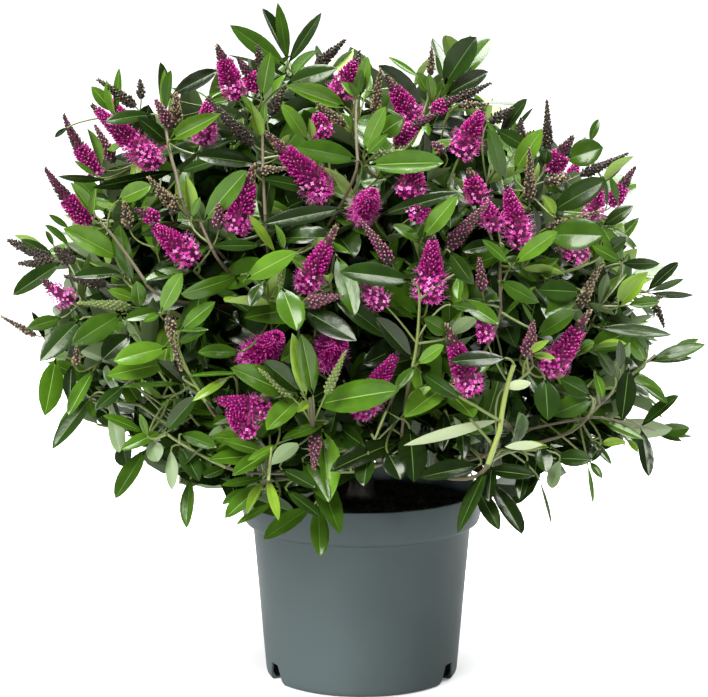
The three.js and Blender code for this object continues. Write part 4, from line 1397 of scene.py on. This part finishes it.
def seenAt(points):
    # where points in space lie in the view, across and down
    offset = points - eye
    ahead = offset[:, 1] * math.cos(lens["tilt"]) - offset[:, 2] * math.sin(lens["tilt"])
    up = offset[:, 1] * math.sin(lens["tilt"]) + offset[:, 2] * math.cos(lens["tilt"])
    return np.stack([lens["middle"][0] + lens["length"] * offset[:, 0] / ahead,
                     lens["middle"][1] - lens["length"] * up / ahead], axis=1)


def closesGap(points):
    # whether something at these points fills an opening at the crown's edge
    offset = seenAt(points)[:, None, :] - edgeGaps[:, :2]
    return bool((np.linalg.norm(offset, axis=2) < edgeGaps[:, 2] + gapMargin).any())


backSpikes = {"seed": 5, "spread": 0.008, "frontOf": -0.07}  # those of the front that are mirrored


def readSpikes():
    # the listed spikes, and for the back of the crown the same ones mirrored and varied
    draw = np.random.default_rng(backSpikes["seed"])
    found = []
    for row in spikeList:
        foot, tip = np.array(row[0:3]) / 1000, np.array(row[3:6]) / 1000
        sides = [np.array([1.0, 1, 1])]
        if foot[1] < backSpikes["frontOf"]:
            sides.append(np.array([1.0, -1, 1]))
        for k, side in enumerate(sides):
            shift = draw.normal(size=3) * backSpikes["spread"] if k else 0
            turn = draw.normal(size=3) * backSpikes["spread"] if k else 0
            begin, end = foot * side + shift, tip * side + shift + turn
            over = max(float((end - leafHigh).max()), float((leafLow - end).max())) + row[6] * 0.00125
            if over > 0:
                pull = normalized(end - fork) * over
                begin, end = begin - pull, end - pull
            if k and closesGap(np.linspace(begin, end, 4)):
                continue
            length = float(np.linalg.norm(end - begin))
            found.append({"base": begin, "axis": (end - begin) / length, "length": length,
                          "radius": row[6] / 1000, "state": row[7], "front": k == 0, "number": len(found)})
    return found


leafLow = np.array(cadLow) + 0.0012
leafHigh = np.array(cadHigh) - 0.0012
spikes = readSpikes()

# the view of the soil: from, to and the radius kept free of leaves and of twigs
soilView = {"from": (-0.009, -0.02, 0.182), "to": (0.092, -0.02, 0.185), "leaves": 0.017, "twigs": 0.016}

# how near a leaf may come to a spike in the view and in space, and to a listed leaf in the view
keepShare = {"thick": 0.75, "thin": 0.55, "touch": 0.7, "leaf": 0.00036, "ahead": 0.004}

keepFrom = []  # from, to, radius in the view, radius in space, and whether it is in front
for spike in spikes:
    share = keepShare["thick" if spike["radius"] > 0.01 else "thin"]
    keepFrom.append((spike["base"], spike["base"] + spike["axis"] * spike["length"], spike["radius"] * share,
                     spike["radius"] * keepShare["touch"], spike["front"]))
soilKeep = [len(keepFrom)]
keepFrom.append((np.array(soilView["from"]), np.array(soilView["to"]), soilView["leaves"], 0.0, True))
for row in frontLeaves:
    foot, tip = np.array(row[0:3]) / 1000, np.array(row[3:6]) / 1000
    keepFrom.append((foot, tip, row[6] * keepShare["leaf"], 0.0, True))
keepStart = np.array([row[0] for row in keepFrom])
keepAxis = np.array([row[1] - row[0] for row in keepFrom])
keepHide = np.array([row[2] if row[4] else -1.0 for row in keepFrom])
keepTouch = np.array([row[3] for row in keepFrom])
toEye = eye - (keepStart + keepAxis / 2)
toEye /= np.linalg.norm(toEye, axis=1)[:, None]


def apartFrom(offset, axis):
    # distances of points from segments that start at zero: offset is (points, segments, 3)
    share = np.clip((offset * axis).sum(2) / np.maximum((axis * axis).sum(1), 1e-9), 0, 1)
    return np.linalg.norm(offset - share[..., None] * axis, axis=2)


def standsBefore(points, which, radius):
    # whether any of the points hides one of the kept places from the camera
    offset = points[:, None, :] - keepStart[which]
    ahead = (offset * toEye[which]).sum(2)
    flat = offset - ahead[..., None] * toEye[which]
    flatAxis = keepAxis[which] - (keepAxis[which] * toEye[which]).sum(1)[:, None] * toEye[which]
    return bool(((apartFrom(flat, flatAxis) < radius) & (ahead > keepShare["ahead"])).any())


def nearBloom(points):
    # whether a leaf would cut through a spike or hide it, or the soil, from the front
    touching = apartFrom(points[:, None, :] - keepStart, keepAxis) < keepTouch
    return bool(touching.any()) or standsBefore(points, slice(None), keepHide)


def hidesSoil(points):
    # whether anything on these points stands in front of the soil that shows
    return standsBefore(points, soilKeep, soilView["twigs"])


potRoom = {"radius": 0.1175, "level": 0.185}
skirt = {"level": 0.172, "flatTo": 0.17, "slope": 0.52, "unevenness": 0.035}  # the crown's underside


def aboveSkirt(points, lift):
    radius = np.hypot(points[:, 0], points[:, 1])
    level = skirt["level"] + skirt["slope"] * np.maximum(0, radius - skirt["flatTo"]) + lift
    return bool((points[:, 2] > level).all())


def allowedLeaf(points):
    if (points < leafLow).any() or (points > leafHigh).any():
        return False
    radius = np.hypot(points[:, 0], points[:, 1])
    if ((radius < potRoom["radius"]) & (points[:, 2] < potRoom["level"])).any():
        return False
    tipOffset = points[-1] - fork
    azimuth = math.degrees(math.atan2(tipOffset[0], -tipOffset[1]))
    elevation = math.degrees(math.asin(tipOffset[2] / np.linalg.norm(tipOffset)))
    return not inSoilWindow(azimuth, elevation)


# the inner leaves' near-black tints are painted shade of the crown's inside; the old leaves' dark tints are
# partly their age and partly painted shade
tintWeights = {"inner": (0.9, 0.1, 0, 0, 0, 0), "old": (0.60, 0.30, 0.09, 0.01, 0, 0),
               "grown": (0.30, 0.38, 0.24, 0.07, 0.01, 0), "fresh": (0.02, 0.20, 0.38, 0.28, 0.10, 0.02),
               "young": (0, 0.02, 0.14, 0.32, 0.34, 0.18)}
formWeights = {"inner": ("plain",), "old": ("flat", "arched", "recurved", "recurved"),
               "grown": ("flat", "arched", "arched", "folded"), "fresh": ("folded", "flat", "arched"),
               "young": ("young",)}
pairAges = ("young", "fresh", "grown", "grown", "old", "old", "old", "old")


def leafSlots(tint, under=None):
    # materials of the blade, the rib and the underside
    under = under or (youngUnderSlot if tint > 3 else underSlot)
    return tint, brightRibSlot if tint > 2 else ribSlot, under


leafSamples = np.array([0.25, 0.6, 1.0])[:, None]  # shares of a leaf's length at which its room is tried


def growPairs(bundle, path, places, draw, light, ages):
    # leaf pairs back from the tip of a path, each pair square to the last
    # gives the path as far as the outermost leaf that found room
    total, grown, outermost = pathLength(path), 0, 1.0
    twist = draw.random() * math.pi
    for k, back in enumerate(places):
        if back > total * growth["pathShare"]:
            break
        point, head = onPath(path, total - back - draw.random() * growth["placeSpread"])
        age = ages[k]
        for side in (0, math.pi):
            turn = twist + k * math.pi / 2 + side + math.radians(draw.normal() * growth["turnSpread"])
            out = perpendicular(head, turn)
            angle = math.radians(growth["pairAngles"][k] + draw.normal() * growth["angleSpread"])
            droop = growth["droop"] + growth["droopGain"] * k
            along = normalized(head * math.cos(angle) + out * math.sin(angle) - upward * droop)
            size = growth["pairSizes"][k] * (1 + growth["sizeSpread"] * (draw.random() - 0.5) * 2)
            slimness = growth["youngWidth"] if age == "young" else 1
            width = size * growth["widthShare"] * (0.9 + 0.2 * draw.random()) * slimness
            face = normalized(head + growth["faceLift"] * upward + growth["faceSpread"] * draw.normal(size=3))
            if abs(float(face @ along)) > growth["edgeOn"]:
                face = normalized(face - out * growth["edgeTurn"])
            samples = point + along * size * leafSamples
            lift = skirt["unevenness"] * draw.random()
            if not aboveSkirt(samples, lift) or not allowedLeaf(samples):
                continue
            if nearBloom(samples) or closesGap(samples):
                continue
            form = formWeights[age][draw.integers(len(formWeights[age]))]
            tint = int(draw.choice(6, p=tintWeights[age]))
            # painted light: by the share light a leaf takes the next lighter tint
            tint = max(0, min(5, tint + (1 if draw.random() < light else 0)))
            matrix = placed(point, along, face, (size, width, width))
            # inner leaves take the dark blade colour on their undersides too, as painted shade
            bundle["leaves"][form].append((matrix, leafSlots(tint, 1 if age == "inner" else None)))
            grown, outermost = grown + 1, min(outermost, back)
    if not grown:
        return None
    return np.array([onPath(path, mark)[0] for mark in np.linspace(0, total - outermost, len(path))])


# zones of a spike: how far up it is open, and how far up its buds are coloured
zones = {
    "full": (0.38, 0.90), "tip": (0.25, 0.66), "half": (0.04, 0.42), "round": (0.45, 1.0),
    "faded": (0.55, 0.62), "pink": (0.0, 0.0), "bud": (0.0, 0.0), "tan": (0.0, 0.0), "green": (0.0, 0.0)}

spikeForm = {
    "floretStep": 0.00017, "budStep": 0.00020, "thinStep": 0.00034, "floretSize": 0.40, "coreShare": 0.52,
    "stamenShare": 0.5, "paleShare": 0.30, "bodyShare": 0.9, "budShare": 1.3,
    "bow": 0.05, "coreEnd": 0.4, "spiralTurn": 2.39996, "turnSpread": 0.08, "end": 0.995, "fadedLoss": 0.35,
    "fullReach": 0.008, "leastReach": 0.002, "leastFloret": 0.011, "funnelShare": 0.3, "threadShare": 0.36,
    "budSize": 0.52, "darkBudSize": 0.62, "leastBud": 0.0024, "budWidth": 0.0024, "leastBudWidth": 0.0019,
    "tanShare": 0.4, "firstSeed": 7000}

# how often a floret is deep, mid, light or pale
petalShares = {"new": (0.32, 0.46, 0.18, 0.04), "old": (0.05, 0.24, 0.42, 0.29),
               "faded": (0, 0.10, 0.36, 0.54)}

budColors = {  # tip, body and calyx of the closed buds of a spike, dealt out at random
    "flower": (("petalLight", "petalMid", "petalDeep"), ("petalMid", "petalDeep", "petalDeep"),
               ("budPink", "petalMid", "petalDeep")),
    "bud": (("budPurple", "budDark", "calyx"), ("budDark", "budDark", "calyxGreen"),
            ("calyx", "budDark", "budDark")),
    "pink": (("budPink", "budPurple", "calyx"), ("calyx", "budWine", "budDark"),
             ("budPink", "budWine", "calyx")),
    "tan": (("calyx", "calyx", "budDark"), ("budPurple", "calyx", "calyxGreen"),
            ("calyx", "budDark", "calyxGreen")),
    "green": (("calyx", "calyxGreen", "leafGreen"), ("calyxGreen", "calyxGreen", "leafGreen"))}


def spikeProfile(t, state):
    # share of the widest radius at a share of the length
    foot = min(1.0, 0.66 + 3.4 * t)
    if state == "round":
        return foot * math.sqrt(max(0.05, 1 - max(0, (t - 0.45) / 0.6) ** 2))
    if state in ("full", "tip", "half", "faded"):
        return foot * (1 - 0.72 * max(0, (t - 0.28) / 0.72) ** 1.25)
    return foot * (1 - 0.66 * t ** 1.5)


def growFloret(bundle, draw, state, radius, place):
    # an open flower, and on some of them the stamens
    form, t = spikeForm, place["t"]
    tilt = 0.10 + 0.8 * t + 0.12 * draw.normal()
    along = normalized(place["out"] * math.cos(tilt) + place["head"] * math.sin(tilt))
    face = perpendicular(along, draw.random() * 6)
    old = t < form["paleShare"] * (0.5 + draw.random()) or state == "faded"
    size = max(radius, form["leastFloret"]) * form["floretSize"] * (0.85 + 0.3 * draw.random())
    age = "faded" if state == "faded" else "old" if old else "new"
    tint = int(draw.choice(4, p=petalShares[age]))
    kind = "florets" if old or draw.random() < form["funnelShare"] else "funnels"
    standing = place["reach"] * (0.96 + 0.10 * draw.random()) - size * 0.75
    origin = place["point"] + along * max(0.0, standing)
    bundle[kind].append((placed(origin, along, face, (size,) * 3), (tint, flowerSlot["throat"])))
    if draw.random() < form["stamenShare"]:
        thread = radius * form["threadShare"] * (0.8 + 0.4 * draw.random())
        bundle["stamens"].append((placed(origin + along * size * 0.55, along, face, (thread,) * 3),
                                  (flowerSlot["thread"], flowerSlot["anther"])))


def growBud(bundle, draw, state, colored, place):
    # a closed bud, coloured or dark
    form, t, reach = spikeForm, place["t"], place["reach"]
    tilt = (0.30 if colored else 0.55) + 0.55 * t + 0.05 * draw.normal()
    along = normalized(place["out"] * math.cos(tilt) + place["head"] * math.sin(tilt))
    size = max(form["leastBud"], reach * form["budSize" if colored else "darkBudSize"])
    kind = "flower" if colored else "tan" if state == "tip" and draw.random() < form["tanShare"] else state
    palette = budColors.get(kind, budColors["bud"])
    names = palette[draw.integers(len(palette))]
    width = max(form["leastBudWidth"], form["budWidth"] * (1 - 0.3 * t)) / budForm["width"]
    origin = place["point"] + along * max(0.0, reach * 1.02 - size)
    bundle["buds"].append((placed(origin, along, perpendicular(along, 0), (size, width, width)),
                           [flowerSlot[name] for name in names]))


def growSpike(bundle, spike):
    # a spike opens from its base: open flowers round a core in painted shade, then coloured buds, then dark
    # ones to the tip
    form = spikeForm
    draw = np.random.default_rng(form["firstSeed"] + spike["number"])
    axis, length, radius, state = spike["axis"], spike["length"], spike["radius"], spike["state"]
    radius *= form["bodyShare"] if radius > 0.011 else form["budShare"] if state == "bud" else 1
    side = perpendicular(axis, draw.random() * 6)
    other = np.cross(axis, side)
    knee = spike["base"] + axis * length * 0.5 + side * length * form["bow"] * draw.normal()
    path = bendPath(spike["base"], knee, spike["base"] + axis * length, 8)
    openTo, colorTo = zones[state]
    core = [radius * form["coreShare"] * spikeProfile(t, state) for t in np.linspace(0, 1, 9)]
    # an open spike's core is painted shade between its flowers; other cores take their buds' own dark or
    # green
    coreColor = "core" if colorTo > 0.3 else "leafGreen" if state == "green" else "budDark"
    bundle["cores"].append(tube(path, core[:-1] + [core[-1] * form["coreEnd"]], flowerSlot[coreColor], 7))
    t, i = 0.0, 0
    while t < 1:
        opened, colored = t < openTo, t < colorTo
        step = form["floretStep" if opened else "budStep" if colored else "thinStep"]
        reach = radius * spikeProfile(t, state)
        t += step * max(1.0, form["fullReach"] / max(reach, form["leastReach"])) / length
        i += 1
        if t > form["end"] or (state == "faded" and draw.random() < form["fadedLoss"]):
            continue
        turn = i * form["spiralTurn"] + draw.normal() * form["turnSpread"]
        point, head = onPath(path, t * length)
        place = {"t": t, "reach": reach, "point": point, "head": head,
                 "out": side * math.cos(turn) + other * math.sin(turn)}
        if opened:
            growFloret(bundle, draw, state, radius, place)
        else:
            growBud(bundle, draw, state, colored, place)


def nearestTwig(point, reach=0.006):
    # the closest place on the twigs that lies further in than the point, where one can be had from which
    # nothing crosses the view of the soil
    inward = np.linalg.norm(twigPoints - fork, axis=1) < np.linalg.norm(point - fork) - reach
    away = np.linalg.norm(twigPoints - point, axis=1) + np.where(inward, 0, 1)
    near = away.argsort()[:80]
    clear = [i for i in near if not hidesSoil(np.linspace(twigPoints[i], point, 6))]
    return twigPoints[clear[0] if clear else near[0]]


def boughEnd(point, heading):
    # the place on the boughs and stems that a front stem runs back to with the least bend
    offset = stemPoints - point
    away = np.linalg.norm(offset, axis=1)
    return stemPoints[(away * (1.7 - offset @ heading / away)).argmin()]


stalkShape = {"thick": (0.0012, 0.0010), "thin": (0.0009, 0.0007), "leaf": (0.0011, 0.0008), "back": 0.0014}


def growPeduncle(bundle, spike):
    # a green stalk to the foot of a spike from the nearest twig behind it
    base, axis = spike["base"], spike["axis"]
    start = nearestTwig(base - axis * 0.01)
    knee = base - axis * min(0.014, np.linalg.norm(base - start) * 0.5)
    radii = stalkShape["thick" if spike["radius"] > 0.01 else "thin"]
    bundle["twigs"].append(tube(bendPath(start, knee, base + axis * 0.002, 6), radii, 1, 5))


frontLeafForm = {"slender": 0.22, "leastWidth": 0.3, "widening": 1.05, "narrowWidening": 1.1,
                 "leastRoll": 0.12, "firstSeed": 30000}


def growFrontLeaf(bundle, row, number):
    # a leaf at its own place, rolled until it shows the width given, on a short stalk from the nearest twig
    form = frontLeafForm
    draw = np.random.default_rng(form["firstSeed"] + number)
    foot, tip = np.array(row[0:3]) / 1000, np.array(row[3:6]) / 1000
    seen, tint, narrow = row[6] / 1000, row[7] % 10, row[7] == 15
    length = float(np.linalg.norm(tip - foot))
    along = (tip - foot) / length
    slender = narrow or seen < form["slender"] * length
    width = max(seen * form["widening"], length * form["slender" if slender else "leastWidth"])
    width = seen * form["narrowWidening"] if narrow else width
    name = "young"
    if tint < 4 or tint == 4 and seen >= form["leastWidth"] * length:
        name = ("flat", "arched", "folded")[draw.integers(3)]
    name = "flat" if slender else name
    view = normalized(eye - foot)
    facing = normalized(view - along * float(view @ along))
    over = np.cross(along, facing)
    over = over if (over[2] > 0) == (row[7] < 20) else -over
    roll = max(form["leastRoll"], math.acos(min(1.0, seen / width)))
    face = facing * math.cos(roll) * (-1 if 10 <= row[7] < 20 else 1) + over * math.sin(roll)
    points = leafTemplates[name]["points"]
    end = points[np.linalg.norm(points, axis=1).argmax()]
    lift = math.atan2(-end[2] * width, end[0] * length)
    size = length / math.hypot(end[0], end[2] * width / length)
    heading = along * math.cos(lift) + face * math.sin(lift)
    # a leaf listed with tint 0 takes the dark blade colour on its underside too, as painted shade
    slots = leafSlots(tint, {15: paleUnderSlot, 0: 1}.get(row[7]))
    matrix = placed(foot, heading, face, (size, width, width))
    reached = points @ matrix[:3, :3].T + foot
    foot = foot + np.maximum(leafLow - reached.min(0), 0) - np.maximum(reached.max(0) - leafHigh, 0)
    matrix[:3, 3] = foot
    bundle["leaves"][name].append((matrix, slots))
    start = nearestTwig(foot)
    bend = foot - heading * min(0.012, np.linalg.norm(foot - start) * 0.4)
    bundle["twigs"].append(tube(bendPath(start, bend, foot + heading * 0.001, 5), stalkShape["leaf"], 1, 5))


def growFrontStem(bundle, row):
    # the listed part of a stem, then its thinner woody way back to the boughs
    points, radius, bark = np.array(row[0]) / 1000, row[1] / 1000, row[2]
    heading = normalized(points[-1] - points[-2])
    start = boughEnd(points[-1], heading)
    knee = points[-1] + heading * min(0.03, np.linalg.norm(start - points[-1]) * 0.3)
    seen = points
    if len(points) > 2:
        seen = np.concatenate([bendPath(points[0], points[1], points[2], 6), points[3:]])
    bundle["twigs"].append(tube(seen, (radius * 0.8, radius), bark, 8))
    back = bendPath(seen[-1] - heading * 0.002, knee, start, 7)
    bundle["twigs"].append(tube(back, (radius * 0.9, stalkShape["back"]), 0, 7))


def asideOf(direction, turn, spread, draw):
    # a direction a little to one side of another
    out = perpendicular(direction, math.radians(turn + growth["turnUnevenness"] * draw.normal()))
    return normalized(direction + out * math.tan(math.radians(spread * (0.85 + 0.3 * draw.random()))))


def growSide(bundle, path, end, back, places, draw, light, ages):
    # a side twig from its place on a path, where enough of its leaves find room
    begin, _ = onPath(path, max(0.01, pathLength(path) - back))
    side = bendPath(begin, begin + (end - begin) * 0.5 + normalized(end - fork) * 0.004, end, 6)
    if not aboveSkirt(end[None], 0.0) or hidesSoil(side):
        return
    leafy = growPairs(bundle, side, places, draw, light, ages)
    if leafy is not None:
        bundle["twigs"].append(tube(leafy, growth["sideRadius"], 1, 4))
        bundle["paths"].append(leafy)


def growShoot(shoot, cell, count, i, bundle):
    # the main shoot of one direction and its side twigs, with their leaf pairs
    draw = np.random.default_rng(growth["firstSeed"] + shoot["number"])
    direction, reach = shoot["direction"], shoot["reach"]
    stem = stemPath(cell)
    share = stemShape["firstTwig"] + stemShape["twigSpan"] * (i + 0.5) / count
    start, _ = onPath(stem, pathLength(stem) * share)
    sourceTip = fork + direction * (reach - crown["leafLength"] * crown["leafShare"])
    depth = depthInCell(sourceTip, cell, cells)
    if depth < crown["inset"]:
        inward = cell["axis"] - direction
        sourceTip = sourceTip + normalized(inward) * (crown["inset"] - depth)
    path = shootPath(start, sourceTip, direction)
    tip = fork + direction * (reach - growth["youngReach"])
    path = np.concatenate([path, bendPath(path[-1], (path[-1] + tip) / 2, tip, 3)[1:]])
    # painted light: leaves on upward shoots are more often given a lighter tint
    light = 0.05 + 0.25 * max(0, float(direction[2]))
    places = growth["pairPlaces"]
    if not aboveSkirt(path[-1:], 0.0) or hidesSoil(path):
        return
    leafy = growPairs(bundle, path, places, draw, light, pairAges)
    if leafy is None:
        return
    bundle["twigs"].append(tube(leafy, growth["shootRadius"], 1, 6))
    bundle["paths"].append(leafy)
    firstTurn = shoot["number"] * growth["spiralTurn"]
    for k in range(growth["sideTwigs"]):
        aim = asideOf(direction, firstTurn + 180 * k, growth["sideTurn"], draw)
        loss = growth["sideSpread"] * draw.random()
        sideReach = float(reachAt(aim)) * (1 - growth["sideLoss"] - loss) - growth["youngReach"]
        growSide(bundle, path, fork + aim * sideReach, growth["sideStart"] + growth["sideStep"] * k,
                 places[:growth["sidePairs"]], draw, light, pairAges)
    for k in range(growth["innerTwigs"]):
        aim = asideOf(direction, firstTurn + 60 + 120 * k, growth["innerTurn"], draw)
        innerReach = float(reachAt(aim)) * growth["innerReach"] * (0.9 + 0.2 * draw.random())
        growSide(bundle, path, fork + aim * innerReach, growth["innerStart"] + growth["innerStep"] * k,
                 growth["innerPlaces"], draw, 0, ("inner",) * 4)


def growMass(cell):
    # stem, shoots and leaf pairs of one bough
    bundle = {"leaves": {name: [] for name in leafTemplates}, "twigs": [], "cores": [], "paths": []}
    bundle.update({kind: [] for kind in flowerTemplates})
    own = sorted((shoot for shoot in shoots if shoot["cell"] is cell),
                 key=lambda shoot: float(shoot["direction"] @ cell["axis"]))
    bundle["twigs"].append(tube(stemPath(cell), growth["stemRadius"], 0, 7))
    for i, shoot in enumerate(own):
        growShoot(shoot, cell, len(own), i, bundle)
    return bundle


def massAt(point):
    axes = np.array([cell["axis"] for cell in cells])
    return bundles[int((axes @ normalized(point - fork)).argmax())]


def joinMass(name, bundle):
    # leaves, twigs and flowers of one bough, each kind joined to one piece
    leafParts = [copiesOf(leafTemplates[form], *zip(*items))
                 for form, items in bundle["leaves"].items() if items]
    leaves = meshFrom("leaves", leafParts)
    finishPiece(leaves, f"leaves_{name}", leafMaterials, [f"foliage_{name}"], 55)
    twigs = meshFrom("twigs", bundle["twigs"])
    finishPiece(twigs, f"twigs_{name}", twigMaterials, (), 60)
    flowerParts = [copiesOf(template, *zip(*bundle[kind]))
                   for kind, template in flowerTemplates.items() if bundle[kind]]
    if flowerParts:
        flowers = meshFrom("flowers", flowerParts + bundle["cores"])
        finishPiece(flowers, f"flowers_{name}", flowerMaterials, (), 50)


bundles = [growMass(cell) for cell in cells]
twigPoints = np.concatenate([path[len(path) // 3:] for bundle in bundles for path in bundle["paths"]])
stemPoints = np.concatenate([path for cell in cells for path in (boughPath(cell)[4:], stemPath(cell)[:3])])
for row in frontStems:
    growFrontStem(massAt(np.array(row[0][0]) / 1000), row)
twigPoints = np.concatenate([twigPoints] + [bendPath(*np.array(row[0])[[0, len(row[0]) // 2, -1]] / 1000)
                                            for row in frontStems])
for number, row in enumerate(frontLeaves + list(innerLeaves)):
    growFrontLeaf(massAt(np.array(row[3:6]) / 1000), row, number)
for spike in spikes:
    bundle = massAt(spike["base"] + spike["axis"] * spike["length"] / 2)
    growSpike(bundle, spike)
    growPeduncle(bundle, spike)
for cell, bundle in zip(cells, bundles):
    joinMass(cell["name"], bundle)
counts = {kind: sum(len(bundle[kind]) for bundle in bundles) for kind in ("twigs", *flowerTemplates)}
leafCount = sum(len(items) for bundle in bundles for items in bundle["leaves"].values())
print("crown dressed:", counts, "leaves", leafCount)


# ---- floor, light and camera ----

studio = {
    "floorSize": 80, "floorColor": (0.75, 0.75, 0.75), "floorGlow": 0.14, "floorRoughness": 0.9,
    "worldColor": (0.95, 0.98, 1.0), "worldStrength": 0.24,
    "keyFrom": (-0.50, -0.78, 0.95), "keyStrength": 6.6, "keyAngle": 32,
    "topPlace": (-0.2, 0.4, 2.2), "topSize": 1.2, "topPower": 110,
    "rimPlace": (1.5, 0.7, 1.9), "rimSize": 1.4, "rimPower": 106, "aim": (0, 0, 0.35),
    "potLightSize": 0.15,
}

potLights = (  # place, aim, cone in degrees, soft share of its edge and power
    ((-0.9, -2.2, 0.25), (0, 0, 0.04), 7.2, 0.4, 290),
    ((-1.75, -1.6, 0.25), (0, 0, -0.15), 14.2, 0.15, 165))


def makeFloor():
    deselectAll()
    bpy.ops.mesh.primitive_plane_add(size=studio["floorSize"], location=(0, 0, 0))
    floor = bpy.context.object
    floor.name = "studioFloor"
    choose(floor)
    editMode()
    bpy.ops.mesh.subdivide(number_cuts=3)
    objectMode()
    material, shader = newMaterial("floorPaper", studio["floorColor"], studio["floorRoughness"])
    shader.inputs["Emission Color"].default_value = (1, 1, 1, 1)
    shader.inputs["Emission Strength"].default_value = studio["floorGlow"]
    floor.data.materials.append(material)


def aimAt(piece, target):
    direction = piece.location - piece.location.__class__(target)
    piece.rotation_euler = direction.to_track_quat("Z", "Y").to_euler()


def stageLight(name, kind, place, aim, power):
    # a new light, at its place and turned to what it lights
    light = bpy.data.lights.new(name, kind)
    light.energy = power
    piece = bpy.data.objects.new(name, light)
    piece.location = place
    aimAt(piece, aim)
    scene.collection.objects.link(piece)
    return light


def addLights():
    # one broad key light from the upper left front, the same all over the floor, and soft ones from above
    key = stageLight("keyLight", "SUN", studio["keyFrom"], (0, 0, 0), studio["keyStrength"])
    key.angle = math.radians(studio["keyAngle"])
    for name in ("top", "rim"):
        place, power = studio[name + "Place"], studio[name + "Power"]
        light = stageLight(name + "Light", "AREA", place, studio["aim"], power)
        light.size = studio[name + "Size"]
    # narrow lamps from low in front, for the pot alone
    for place, aim, cone, blend, power in potLights:
        light = stageLight("potLight", "SPOT", place, aim, power)
        light.spot_size = math.radians(cone)
        light.spot_blend = blend
        light.shadow_soft_size = studio["potLightSize"]


def makeWorld():
    world = bpy.data.worlds.new("studio")
    world.use_nodes = True
    background = world.node_tree.nodes["Background"]
    background.inputs["Color"].default_value = (*studio["worldColor"], 1)
    background.inputs["Strength"].default_value = studio["worldStrength"]
    scene.world = world


def makeCamera():
    data = bpy.data.cameras.new("camera")
    data.lens = lens["focal"]
    data.sensor_width = lens["sensor"]
    camera = bpy.data.objects.new("camera", data)
    camera.location = eye
    camera.rotation_euler = (math.pi / 2 - lens["tilt"], 0, 0)
    scene.collection.objects.link(camera)
    scene.camera = camera


makeFloor()
addLights()
makeWorld()
makeCamera()
scene.view_settings.view_transform = "Standard"
print("studio set")
